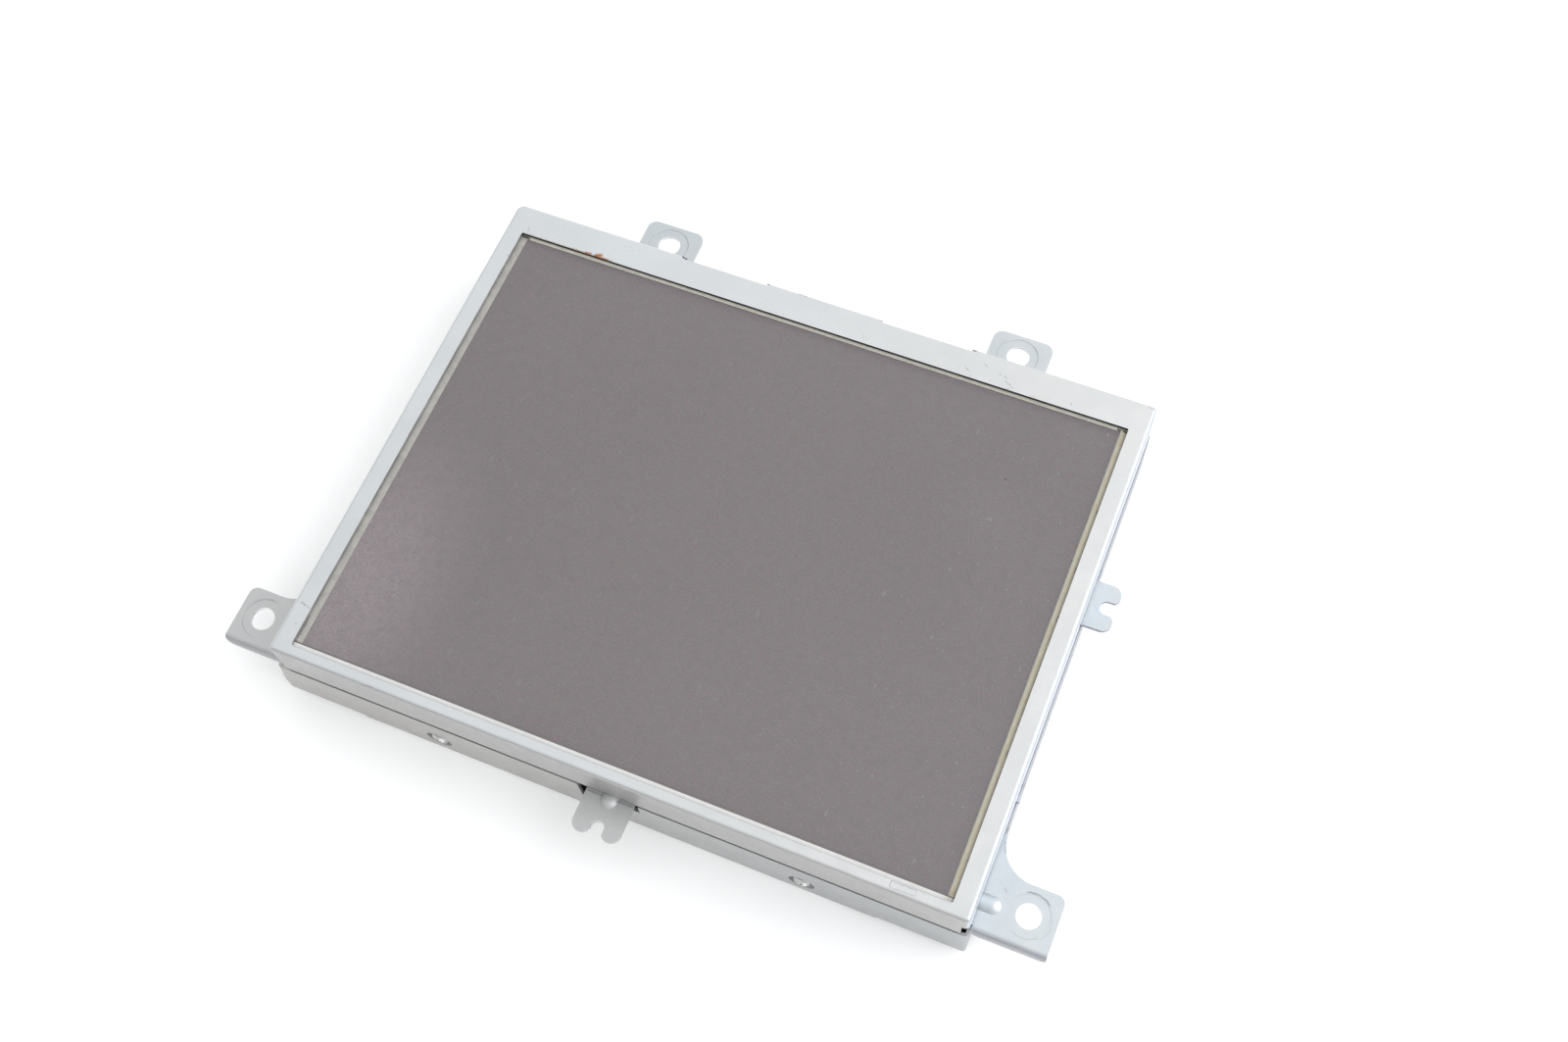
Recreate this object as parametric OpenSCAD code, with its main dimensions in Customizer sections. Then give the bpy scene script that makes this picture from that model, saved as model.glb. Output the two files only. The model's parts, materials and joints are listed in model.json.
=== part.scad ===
// Car navigation display: an 8.4-inch 4:3 LCD with a touch panel, in a stamped sheet-metal
// housing with four screw ears and two slotted locating tabs. It lies on its back, screen up.
// x runs across the screen, y towards the two top ears, z out of the screen.
// x = 0 is midway between the ears, y = 0 is the bezel's middle, z = 0 is the back panel.

/* [Screen] */
// Width of the screen opening in the bezel
open_w = 175.6; // [145:0.1:215]
// Height of the screen opening in the bezel
open_h = 132.1; // [110:0.1:165]
// Width of the cream adhesive tape that shows at the opening's left and right
tape_side = 1.9; // [0.8:0.05:2.5]
// Width of the tape that shows at the top
tape_top = 0.75; // [0.4:0.05:2]
// Width of the tape that shows at the bottom
tape_low = 1.6; // [0.8:0.05:2.5]
// How far the touch glass reaches under the bezel
glass_overlap = 1.1; // [0.8:0.05:1.3]
// How far the thin-film glass stands past the filter glass at the top
tft_ledge = 2.8; // [2.4:0.1:3]

/* [Bezel] */
// Border from the opening to the left side
border_left = 5.1; // [4.8:0.1:9]
// Border from the opening to the right side
border_right = 5.1; // [4.2:0.1:9]
// Border from the opening to the top side
border_top = 8.8; // [8.6:0.1:12]
// Border from the opening to the bottom side
border_bottom = 3.1; // [2.8:0.1:6]
// How far the bezel sits to the right of the middle between the ears
bezel_x = 0.2; // [-1:0.1:1]
// Thickness of the bezel's sheet
bezel_t = 0.8; // [0.6:0.05:1]
// Depth of the bezel's skirt below its face
skirt_d = 12.9; // [11.5:0.1:15.5]
// Inside radius of the bend between face and skirt
bezel_bend = 0.2; // [0.1:0.05:0.8]
// Inside radius of the bezel's upper left corner, seen from the front
corner_left = 1.4; // [0.3:0.05:2.5]
// Inside radius of its upper right corner
corner_right = 0.5; // [0.3:0.05:2.5]
// Inside radius of its two lower corners
corner_low = 0.25; // [0.25:0.05:2.5]
// Half of the width of the spring tab in the middle of the top skirt
tab_half = 16.7; // [12:0.1:20]
// Width of the gap in the top skirt on each side of that tab
skirt_gap = 25.8; // [18:0.1:28]

/* [Housing] */
// Depth of the whole unit, face to back
unit_d = 33; // [27.5:0.5:40]
// Open seam between the bezel's skirt and the rear cover's rim
seam = 1.7; // [1.4:0.1:2.2]
// Thickness of the rear cover's sheet
cover_t = 0.8; // [0.6:0.1:1]
// How far the rear cover's rim stands past the bezel on the left
over_left = 2.4; // [0:0.1:4]
// How far the rear cover stands past the bezel on the right
over_right = 0.2; // [0:0.1:2]
// How far the cover's left wall leans out below its rim
lean = 2.1; // [0.5:0.1:2.5]
// Height above the back panel where that lean starts
lean_up = 7.5; // [5.5:0.1:11]
// Radius between the left wall and the back panel
foot_corner = 3.5; // [2.5:0.1:5]
// Inside radius of the rear cover's upright corners
cover_corner = 0.3; // [0.1:0.1:3]
// Inside radius of the bend round the rear cover's back panel
cover_bend = 0.2; // [0.1:0.1:1.2]
// Width of the strip along each side where the back panel is stepped in
step_w = 23.2; // [15:0.1:26]
// How far those strips are stepped in
step_d = 1.3; // [0.9:0.1:2]
// Width of the slope from the left strip down to the back panel
slope_left = 6; // [3:0.5:16]
// Width of the slope from the right strip down to the back panel
slope_right = 16; // [3:0.5:18]
// Room in the cover's wall beside each tab or ear that passes through it
pass_gap = 1.7; // [1:0.1:3]

/* [Chassis] */
// Thickness of the chassis sheet
chassis_t = 1; // [0.8:0.1:1.2]
// Gap between the bezel's skirt and the chassis flange inside it
flange_gap = 1; // [0.8:0.1:1.4]
// Inside radius of the chassis bends
chassis_bend = 1; // [0.6:0.1:1.2]
// How far the ears and tabs stand above the cover's rim
ear_up = 0.4; // [0.2:0.1:0.6]
// Diameter of the screw hole in each ear
hole_d = 6.2; // [5:0.1:7.5]
// Distance between the holes of the two top ears
top_span = 105; // [84:0.5:130]
// Distance from the bezel's top side out to the top holes
top_out = 10; // [9:0.1:13]
// Distance from the bezel's side out to the bottom holes
low_out = 12.1; // [10.5:0.1:16]
// Distance from the bezel's bottom side up to the bottom holes
low_up = 10; // [9.2:0.1:13]
// Width of a top ear
top_ear_w = 17; // [15:0.1:22]
// Metal beyond the hole at the free end of a top ear
top_ear_end = 6.5; // [6:0.1:9]
// Metal beyond the hole at the free end of a bottom ear
low_ear_end = 7.1; // [6:0.1:9]
// Metal above the hole of a bottom ear
low_ear_side = 7.4; // [6:0.1:9]
// Radius of the sweep from a bottom ear up into the side
sweep_r = 9.2; // [6:0.1:14]
// Height of the lip turned down along the bottom ears
lip_d = 5; // [4.2:0.1:7]
// Width of each slotted locating tab
fork_w = 13; // [11:0.1:16]
// Width of the slot in each locating tab
slot_w = 3.8; // [3:0.1:4.6]
// Depth of the slot from the tab's end
slot_d = 4.4; // [3.6:0.1:5.6]
// How far the bottom locating tab stands past the bezel
low_fork_out = 10.75; // [9:0.05:13]
// How far the right locating tab stands past the bezel
side_fork_out = 7.3; // [6.6:0.1:10]
// Height of the right locating tab above the bezel's middle
fork_y = 19.6; // [10:0.1:24]

/* [Screws and board] */
// Distance from the middle out to each screw in the bottom wall
low_screw_x = 50.5; // [35:0.1:61]
// Distance from the chassis side in to each screw in the top wall
top_screw_in = 15; // [9:0.5:18]
// Height of the cover screws above the back panel
screw_up = 7.5; // [6.5:0.1:9]
// Radius of the head of each cover screw
head_r = 2.6; // [2:0.1:3.1]
// Distance from the chassis sides in to the control board
board_side = 17; // [12:1:30]
// Distance from the chassis bottom up to the control board
board_low = 26; // [8:1:30]
// Height of the posts that carry the control board
post_h = 2.5; // [2:0.1:3.5]
// Number of contacts in each of the two rows of the rear connector
ways = 8; // [4:1:12]

/* [Layers] */
// Thickness of the foam between bezel and touch panel
gasket_t = 0.5; // [0.3:0.05:0.7]
// Thickness of the touch film and of the tape round it
film_t = 0.2; // [0.15:0.05:0.3]
// Thickness of the touch glass
touch_t = 1.1; // [0.7:0.1:1.4]
// Thickness of the foam between touch glass and display cell
foam_t = 0.5; // [0.3:0.05:0.8]
// Thickness of each polariser
polariser_t = 0.2; // [0.15:0.05:0.3]
// Thickness of each glass of the display cell
cell_t = 0.5; // [0.3:0.05:0.7]
// Thickness of the frame's ledge between cell and backlight
ledge_t = 0.7; // [0.5:0.1:1]
// Thickness of the prism sheet
prism_t = 0.2; // [0.15:0.05:0.3]
// Thickness of the diffuser sheet
diffuser_t = 0.3; // [0.2:0.05:0.4]
// Thickness of the light guide
guide_t = 3; // [2.4:0.1:3.6]
// Thickness of the reflector sheet
reflector_t = 0.2; // [0.15:0.05:0.3]

/* [Hidden] */
$fn = 48;

// Clearance of a piece that drops into a pocket
fit = 0.1;
// Overlap that carries a cut clear through a face
cut = 0.5;

// Bezel and screen, seen from the front
bezel_w = border_left + open_w + border_right;
bezel_h = border_bottom + open_h + border_top;
bezel_left = bezel_x - bezel_w / 2;
bezel_right = bezel_x + bezel_w / 2;
screen_x = bezel_left + border_left + open_w / 2;
screen_y = -bezel_h / 2 + border_bottom + open_h / 2;
glass_w = open_w + 2 * glass_overlap;
glass_h = open_h + 2 * glass_overlap;
glass_top = screen_y + glass_h / 2;
tft_top = glass_top + tft_ledge;
gasket_inset = 0.2;
bezel_out = bezel_bend + bezel_t;
bezel_corners = [for (r = [corner_low, corner_low, corner_right, corner_left])
    max(r, bezel_bend + 0.05) + bezel_t];
skirt_cut = bezel_out + 0.05;
relief_w = 1.7;
relief_d = 6.2;

// Depths of the layers below the face, each one resting on the next
film_top = bezel_t + gasket_t;
touch_top = film_top + film_t;
foam_top = touch_top + touch_t;
polariser_top = foam_top + foam_t;
filter_top = polariser_top + polariser_t;
tft_level = filter_top + cell_t;
ledge_top = tft_level + cell_t;
prism_top = ledge_top + ledge_t;
diffuser_top = prism_top + prism_t;
guide_top = diffuser_top + diffuser_t;
reflector_top = guide_top + guide_t;
floor_top = reflector_top + reflector_t;
floor_bottom = floor_top + chassis_t;
board_top = floor_bottom + post_h;
board_t = 1.6;
board_bottom = board_top + board_t;
rim = skirt_d + seam;
ear_top = rim - ear_up;

// Backlight: the guide reaches a little past the opening, with the lamps above its top edge
guide_past = 0.4;
guide_w = open_w + 2 * guide_past;
guide_h = open_h + 2 * guide_past;
lamp_gap = 0.1;
lamp_d = 1;
lamp_w = 3;
lamp_h = guide_t - 0.4;
lamp_pitch = 7.2;
strip_t = 0.8;
strip_edge = screen_y + guide_h / 2 + lamp_gap + lamp_d;

// Moulded frame inside the bezel's skirt
frame_gap = 0.3;
frame_w = bezel_w - 2 * (bezel_t + frame_gap);
frame_h = bezel_h - 2 * (bezel_t + frame_gap);

// Chassis: a shallow tray turned over, with its flange just inside the skirt
chassis_w = bezel_w - 2 * (bezel_t + flange_gap);
chassis_h = bezel_h - 2 * (bezel_t + flange_gap);
chassis_corner = 2.4;
flange_d = rim + 1.9;
low_hole_x = bezel_w / 2 + low_out;
low_hole_y = -bezel_h / 2 + low_up;
low_ear_corner = 2.2;
top_ear_corner = 2.6;
sweep_set = 1.8;
sweep_end = low_ear_side + sweep_r;
lip_set = 2;
lip_bend = 0.2;
lip_corner = 1.8;
lip_gap = 0.3;
ear_low = lip_set - low_up + lip_bend + chassis_t;
root_low = bezel_t + flange_gap + chassis_corner - low_up;
coin_r = hole_d / 2 + 2.3;
coin_d = 0.1;
rib_r = 3;
rib_up = 1;
rib_y = -0.7;
side_rib = 7.8;
fork_rib = 5.8;
collar_t = 0.7;
collar_d = 1.4;
stop_y = low_hole_y + 26.2;
stop_w = 1.8;
stop_past = 0.6;
stop_room = 3;

// Rear cover
cover_left = bezel_left - over_left - lean;
cover_right = bezel_right + over_right;
cover_w = cover_right - cover_left;
cover_d = unit_d - rim;
cover_out = cover_bend + cover_t;
lean_angle = atan(lean / (cover_d - lean_up));
pass_under = 0.4;
fork_pass_d = 9.4;
fork_pass_left = 2.8;
fork_pass_right = 0.8;

// Cover screws, each in a dimple that rests on a tab of the chassis flange
dimple_r = head_r + 0.9;
dimple_wall = 0.7;
wall_out = flange_gap + bezel_t;
head_h = 1.3;
screw_r = 1.25;
screw_play = 0.05;
screw_room = 0.2;
screw_len = 4.5;
lug_w = 12;
lug_past = 4;
lug_corner = 2;

// Ribbons that drop past the top edge of the display cell, each with its x and its width
ribbon_t = 0.25;
ribbon_bend = 0.7;
ribbon_y = tft_top + 0.9;
ribbon_play = 0.5;
ribbon_slot_y = ribbon_y + 0.8;
bond_w = 1.2;
touch_ribbon = [-38, 16];
panel_ribbon = [20, 60];
lamp_ribbon = [-20, 6];
ribbons = [touch_ribbon, panel_ribbon, lamp_ribbon];
socket_d = 4.5;
socket_h = 2;
ribbon_level = board_bottom + 1;

// Board, with its top edge a little below the ribbons
board_w = chassis_w - 2 * board_side;
board_edge = ribbon_y - 8;
board_h = board_edge + chassis_h / 2 - board_low;
board_y = board_edge - board_h / 2;
board_right = board_w / 2;
socket_y = board_edge - socket_d - 0.5;
post_r = 2.6;
post_in = 5;
post_drop = 13;
post_x = board_w / 2 - post_in;
post_low = board_y - board_h / 2 + post_in;
post_high = board_edge - post_in;
post_at = [[-post_x, post_low], [0, post_low], [post_x, post_low],
    [-post_x, post_high], [0, board_edge - post_drop], [post_x, post_high]];
sheet_past = 2;
sheet_t = 0.2;

// Rear connector, standing on the board behind a window in the back panel
pin_pitch = 2.5;
pin_w = 0.64;
pin_up = 4;
header_wall = 1.2;
header_at = [board_right - 40, board_y - 30];
header_in = [ways * pin_pitch + 5, 9.6];
header_mouth = 1;
header_cavity = 8.5;
key_w = 3;
window_gap = 1.5;

module at_depth(depth) {
    translate([0, 0, unit_d - depth]) children();
}

// A flat shape that lies at a depth below the face, t thick
module layer(depth, t) {
    at_depth(depth + t) linear_extrude(t) children();
}

module rounded_rect(w, h, r) {
    square([w - 2 * r, h], center = true);
    square([w, h - 2 * r], center = true);
    for (x = [-1, 1], y = [-1, 1])
        translate([x * (w / 2 - r), y * (h / 2 - r)]) circle(r);
}

// Section of a slab whose two upper corners are rounded
module slab_section(w, d, r) {
    translate([-w / 2, -d]) square([w, d - r]);
    translate([r - w / 2, -r - cut]) square([w - 2 * r, r + cut]);
    for (s = [-1, 1]) translate([s * (w / 2 - r), -r]) circle(r);
}

// The outer part of that section, from a corner's axis outwards
module corner_section(corner, d, r) {
    translate([0, -d]) square([corner, d - r]);
    translate([0, -r - cut]) square([corner - r, r + cut]);
    intersection() {
        translate([corner - r, -r]) circle(r);
        translate([corner - r, -r]) square(2 * r);
    }
}

// A slab with bent edges round its upper face. Its four upright corners have a radius each,
// counted from the lower left one, anticlockwise.
module bent_slab(w, h, d, corners, bend) {
    in = max(corners);
    translate([0, 0, -d]) linear_extrude(d) square([w - 2 * in, h - 2 * in], center = true);
    for (i = [0 : 3]) rotate([0, 0, 90 * i]) {
        long = i % 2 == 0 ? w : h;
        deep = i % 2 == 0 ? h : w;
        from = corners[i];
        to = corners[(i + 1) % 4];
        translate([from - long / 2, in - deep / 2, 0]) rotate([90, 0, 90])
            linear_extrude(long - from - to) mirror([1, 0]) corner_section(in, d, bend);
        translate([from - long / 2, from - deep / 2, 0])
            rotate_extrude() corner_section(from, d, bend);
    }
}

// The same slab hollowed from below, as a sheet of thickness t
module bent_tray(w, h, d, corners, bend, t) {
    difference() {
        bent_slab(w, h, d, corners, bend);
        translate([0, 0, -t])
            bent_slab(w - 2 * t, h - 2 * t, d, [for (r = corners) r - t], bend - t);
    }
}

module opening(grow) {
    translate([screen_x, screen_y])
        square([open_w + 2 * grow, open_h + 2 * grow], center = true);
}

// Inner outline of the tape, which shows wider at the bottom than at the top
module film_outline(grow) {
    translate([screen_x, screen_y + (tape_low - tape_top) / 2])
        square([open_w - 2 * tape_side + 2 * grow, open_h - tape_top - tape_low + 2 * grow],
            center = true);
}

module glass_outline(grow = 0) {
    translate([screen_x, screen_y])
        square([glass_w + 2 * grow, glass_h + 2 * grow], center = true);
}

// The thin-film glass reaches past the filter glass at the top
module tft_outline(grow = 0) {
    low = screen_y - glass_h / 2;
    translate([screen_x - glass_w / 2 - grow, low - grow])
        square([glass_w + 2 * grow, tft_top - low + 2 * grow]);
}

module guide_outline() {
    translate([screen_x, screen_y]) square([guide_w, guide_h], center = true);
}

// The two stretches of the bezel's top edge where the skirt is left out
module skirt_gaps(in) {
    for (s = [-1, 1]) translate([s * (tab_half + skirt_gap / 2), bezel_h / 2])
        square([skirt_gap, 2 * in], center = true);
}

module front_bezel() {
    color([0.82, 0.85, 0.87])
    difference() {
        translate([bezel_x, 0, unit_d])
            bent_tray(bezel_w, bezel_h, skirt_d, bezel_corners, bezel_out, bezel_t);
        layer(-cut, bezel_t + 2 * cut) translate([screen_x, screen_y])
            rounded_rect(open_w, open_h, 0.4);
        layer(-cut, skirt_d + 2 * cut) skirt_gaps(skirt_cut);
        // Relief at the lower right corner, where the bottom and right skirts meet
        layer(skirt_d - relief_d, relief_d + cut) translate([bezel_right, -bezel_h / 2])
            square(2 * relief_w, center = true);
    }
}

module bezel_gasket() {
    color([0.1, 0.1, 0.1])
    layer(bezel_t, gasket_t) difference() {
        glass_outline();
        opening(gasket_inset);
    }
}

module edge_tape() {
    color([0.82, 0.79, 0.68])
    layer(film_top, film_t) difference() {
        glass_outline();
        film_outline(0);
    }
}

module touch_film() {
    color([0.36, 0.34, 0.35])
    layer(film_top, film_t) film_outline(-fit / 2);
}

module touch_glass() {
    color([0.5, 0.55, 0.55])
    layer(touch_top, touch_t) glass_outline();
}

// A quarter of the ribbon's section round a bend
module ribbon_turn(up) {
    reach = ribbon_bend + ribbon_t;
    intersection() {
        difference() {
            circle(reach);
            circle(ribbon_bend);
        }
        translate([0, up > 0 ? 0 : -reach]) square(reach);
    }
}

// A ribbon that leaves upwards at one depth, drops, and turns back in to a socket.
// Its section has y to the right and depth downwards.
module ribbon(place, depth, start) {
    end = socket_y + socket_d;
    reach = ribbon_bend + ribbon_t;
    far = ribbon_y + ribbon_t / 2 - reach;
    low = reach - ribbon_t - ribbon_level;
    translate([place[0] - place[1] / 2, 0, unit_d]) rotate([90, 0, 90]) linear_extrude(place[1]) {
        translate([start, -depth - ribbon_t]) square([far - start, ribbon_t]);
        translate([far, -depth - reach]) ribbon_turn(1);
        translate([far + ribbon_bend, low]) square([ribbon_t, -depth - reach - low]);
        translate([far, low]) ribbon_turn(-1);
        translate([end, -ribbon_level - ribbon_t]) square([far - end, ribbon_t]);
    }
}

module touch_flex() {
    color([0.75, 0.5, 0.15])
    ribbon(touch_ribbon, touch_top, glass_top);
}

module panel_gasket() {
    color([0.1, 0.1, 0.1])
    layer(foam_top, foam_t) difference() {
        glass_outline();
        opening(gasket_inset);
    }
}

module front_polariser() {
    color([0.16, 0.14, 0.16])
    layer(polariser_top, polariser_t) glass_outline(-0.4);
}

module filter_glass() {
    color([0.45, 0.5, 0.5])
    layer(filter_top, cell_t) glass_outline();
}

module tft_glass() {
    color([0.5, 0.55, 0.5])
    layer(tft_level, cell_t) tft_outline();
}

module driver_chips() {
    count = 6;
    pitch = glass_w / count;
    chip = [15, 0.9, 0.3];
    color([0.2, 0.2, 0.22])
    for (i = [0 : count - 1])
        translate([screen_x - glass_w / 2 + pitch * (i + 0.5), glass_top + 0.8,
            unit_d - tft_level + chip[2] / 2]) cube(chip, center = true);
}

module panel_flex() {
    color([0.75, 0.5, 0.15])
    ribbon(panel_ribbon, tft_level - ribbon_t, tft_top - bond_w);
}

module rear_polariser() {
    color([0.16, 0.14, 0.16])
    layer(ledge_top, polariser_t) opening(guide_past - fit);
}

module mould_frame() {
    pocket = strip_edge + strip_t + fit;
    low = screen_y - guide_h / 2 - fit;
    color([0.93, 0.93, 0.9])
    difference() {
        layer(film_top, floor_top - film_top) translate([bezel_x, 0])
            rounded_rect(frame_w, frame_h, max(bezel_corners) - bezel_t);
        layer(film_top - cut, ledge_top - film_top + cut) tft_outline(fit);
        layer(ledge_top - cut, ledge_t + 2 * cut) opening(guide_past);
        layer(prism_top, floor_top - prism_top + cut)
            translate([screen_x - guide_w / 2 - fit, low])
                square([guide_w + 2 * fit, pocket - low]);
        for (r = [touch_ribbon, panel_ribbon])
            layer(film_top - cut, floor_top - film_top + 2 * cut)
                translate([r[0] - r[1] / 2 - ribbon_play, tft_top - cut])
                    square([r[1] + 2 * ribbon_play, ribbon_slot_y - tft_top + cut]);
        layer(prism_top, floor_top - prism_top + cut)
            translate([lamp_ribbon[0] - lamp_ribbon[1] / 2 - ribbon_play, pocket - cut])
                square([lamp_ribbon[1] + 2 * ribbon_play, ribbon_slot_y - pocket + cut]);
        layer(0, floor_top + cut) skirt_gaps(skirt_cut + frame_gap);
    }
}

module prism_sheet() {
    color([0.9, 0.92, 0.95])
    layer(prism_top, prism_t) guide_outline();
}

module diffuser_sheet() {
    color([0.97, 0.97, 0.97])
    layer(diffuser_top, diffuser_t) guide_outline();
}

module light_guide() {
    color([0.85, 0.92, 0.95])
    layer(guide_top, guide_t) guide_outline();
}

module reflector_sheet() {
    color([0.98, 0.98, 0.98])
    layer(reflector_top, reflector_t) guide_outline();
}

module led_strip() {
    color([0.9, 0.9, 0.85])
    layer(prism_top + fit, floor_top - prism_top - fit)
        translate([screen_x, strip_edge + strip_t / 2])
            square([guide_w - 2, strip_t], center = true);
}

module backlight_leds() {
    count = floor((guide_w - 8) / lamp_pitch);
    color([1, 0.9, 0.5])
    for (i = [0 : count - 1])
        translate([screen_x + (i - (count - 1) / 2) * lamp_pitch, strip_edge - lamp_d / 2,
            unit_d - guide_top - guide_t / 2]) cube([lamp_w, lamp_d, lamp_h], center = true);
}

module led_flex() {
    color([0.75, 0.5, 0.15])
    ribbon(lamp_ribbon, guide_top + guide_t / 2, strip_edge + strip_t);
}

// Bend from the flange out into an ear or a tab. Here and in the modules below x = 0 is the
// flange's outer face and the ear leads off towards +x.
module ear_root(low, high) {
    r = chassis_bend;
    t = chassis_t;
    at_depth(ear_top) translate([0, high, 0]) rotate([90, 0, 0]) linear_extrude(high - low)
        intersection() {
            translate([r, r]) difference() {
                circle(r + t);
                circle(r);
            }
            translate([-t, -t]) square(r + t);
        }
}

// Half-round bar with a domed end, lying across that bend
module rib_bar(length, r, from) {
    at_depth(ear_top - rib_up + rib_r) {
        translate([from, 0, 0]) rotate([0, 90, 0]) cylinder(r = r, h = length - rib_r - from);
        translate([length - rib_r, 0, 0]) sphere(r);
    }
}

// Adds a stamped stiffening rib to its children, pressed up from behind
module ribbed(length) {
    difference() {
        union() {
            children();
            difference() {
                rib_bar(length, rib_r, -chassis_t / 2);
                at_depth(ear_top + chassis_t / 2 + 3 * rib_r)
                    translate([-length, -2 * rib_r, 0]) cube([3 * length, 4 * rib_r, 3 * rib_r]);
            }
        }
        rib_bar(length, rib_r - chassis_t, -chassis_t - cut);
    }
}

// Coined seat round a screw hole: pressed down from the front, so it stands proud behind
module coined(x) {
    difference() {
        union() {
            children();
            layer(ear_top + chassis_t - cut, coin_d + cut) translate([x, 0]) circle(coin_r);
        }
        layer(ear_top - cut, coin_d + cut) translate([x, 0]) circle(coin_r);
        layer(ear_top - cut, chassis_t + coin_d + 2 * cut) translate([x, 0]) circle(d = hole_d);
    }
}

// A bottom ear, with y = 0 at its hole; out is the hole's distance from the flange and wall
// is the distance from the flange to the outside of the cover
module low_ear(out, wall) {
    end = out + low_ear_end;
    sweep_x = out - sweep_set;
    corner = low_ear_corner;
    r = chassis_bend;
    coined(out) {
        translate([0, rib_y, 0]) ribbed(side_rib) translate([0, -rib_y, 0]) {
            ear_root(root_low, sweep_end);
            layer(ear_top, chassis_t) difference() {
                union() {
                    translate([r, ear_low]) square([end - corner - r, low_ear_side - ear_low]);
                    translate([r, ear_low]) square([end - r, low_ear_side - corner - ear_low]);
                    translate([end - corner, low_ear_side - corner]) circle(corner);
                    translate([r, low_ear_side - cut]) square([sweep_x - r, sweep_r + cut]);
                }
                translate([sweep_x, sweep_end]) circle(sweep_r);
            }
        }
        lip(wall + lip_gap, end);
    }
}

// Lip bent down along the lower edge of a bottom ear, its free corners rounded
module lip(from, to) {
    t = chassis_t;
    r = lip_bend;
    long = to - from;
    drop = lip_d - t - r;
    at_depth(ear_top + t + r) translate([from, ear_low, 0]) rotate([90, 0, 90])
        linear_extrude(long) intersection() {
            difference() {
                circle(t + r);
                circle(r);
            }
            translate([-t - r, 0]) square(t + r);
        }
    at_depth(ear_top + lip_d) translate([from, ear_low - r, 0]) rotate([90, 0, 0])
        linear_extrude(t) {
            translate([0, lip_corner]) square([long, drop - lip_corner]);
            translate([lip_corner, 0]) square([long - 2 * lip_corner, drop]);
            for (x = [lip_corner, long - lip_corner]) translate([x, lip_corner]) circle(lip_corner);
        }
}

module top_ear() {
    out = top_out + wall_out;
    end = out + top_ear_end;
    corner = top_ear_corner;
    r = chassis_bend;
    coined(out) {
        ear_root(-top_ear_w / 2, top_ear_w / 2);
        layer(ear_top, chassis_t) {
            translate([r, -top_ear_w / 2]) square([end - corner - r, top_ear_w]);
            translate([r, corner - top_ear_w / 2]) square([end - r, top_ear_w - 2 * corner]);
            for (s = [-1, 1])
                translate([end - corner, s * (top_ear_w / 2 - corner)]) circle(corner);
        }
    }
}

// Outline of a locating tab, whose end is split into two rounded lobes
module fork_outline(end) {
    half = fork_w / 2;
    lobe = half - slot_w / 2;
    big = 0.56 * lobe;
    small = 0.36 * lobe;
    translate([chassis_bend, -half]) square([end - slot_d / 2 - chassis_bend, fork_w]);
    for (s = [-1, 1]) {
        translate([end / 2, s * (half + slot_w / 2 + small - big) / 2])
            translate([0, -(lobe - small - big) / 2]) square([end / 2, lobe - small - big]);
        translate([end / 2, s > 0 ? half - big - cut : -half]) square([end / 2 - big, big + cut]);
        translate([end / 2, s > 0 ? slot_w / 2 : -slot_w / 2 - small - cut])
            square([end / 2 - small, small + cut]);
        translate([end - big, s * (half - big)]) circle(big);
        translate([end - small, s * (slot_w / 2 + small)]) circle(small);
    }
}

// U-shaped slot in the end of a locating tab
module fork_slot(end) {
    layer(ear_top - cut, chassis_t + collar_d + 2 * cut) {
        translate([end - slot_d + slot_w / 2, 0]) circle(d = slot_w);
        translate([end - slot_d + slot_w / 2, -slot_w / 2]) square([slot_d, slot_w]);
    }
}

module fork_sheet(end) {
    ear_root(-fork_w / 2, fork_w / 2);
    layer(ear_top, chassis_t) fork_outline(end);
}

module side_fork() {
    end = side_fork_out + wall_out;
    difference() {
        fork_sheet(end);
        fork_slot(end);
    }
}

// The bottom tab has a stamped rib, and a collar turned down round the slot's closed end
module low_fork() {
    end = low_fork_out + wall_out;
    difference() {
        ribbed(fork_rib) {
            fork_sheet(end);
            layer(ear_top + chassis_t / 2, chassis_t / 2 + collar_d) intersection() {
                translate([end - slot_d + slot_w / 2, 0]) circle(slot_w / 2 + collar_t);
                translate([end - slot_d - slot_w / 2, -slot_w]) square([slot_w + 0.6, 2 * slot_w]);
            }
        }
        fork_slot(end);
    }
}

// Places a child on the flange of a side of the chassis, with +x outwards
module on_side(s) {
    mirror([s < 0 ? 1 : 0, 0, 0]) translate([chassis_w / 2 + s * bezel_x, 0, 0]) children();
}

module on_top(x) {
    translate([x, chassis_h / 2, 0]) rotate([0, 0, 90]) children();
}

module on_bottom(x) {
    translate([x, -chassis_h / 2, 0]) rotate([0, 0, -90]) children();
}

// Takes the flange away where the sheet turns out into an ear or a tab
module flange_cut(low, high) {
    layer(ear_top - chassis_bend, flange_d) translate([-chassis_t - cut, low])
        square([chassis_t + 2 * cut, high - low]);
}

// Tab of the flange that a cover screw bites into
module lug() {
    deep = unit_d - screw_up + lug_past;
    r = lug_corner;
    at_depth(deep) rotate([90, 0, -90]) linear_extrude(chassis_t) {
        translate([-lug_w / 2, r]) square([lug_w, deep - flange_d + cut - r]);
        translate([r - lug_w / 2, 0]) square([lug_w - 2 * r, 2 * r]);
        for (s = [-1, 1]) translate([s * (lug_w / 2 - r), r]) circle(r);
    }
}

// Puts its children at the four cover screws, with +x outwards
module at_screws() {
    for (s = [-1, 1]) {
        on_bottom(s * low_screw_x) translate([0, 0, screw_up]) children();
        on_top(bezel_x + s * (chassis_w / 2 - top_screw_in)) translate([0, 0, screw_up]) children();
    }
}

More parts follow.
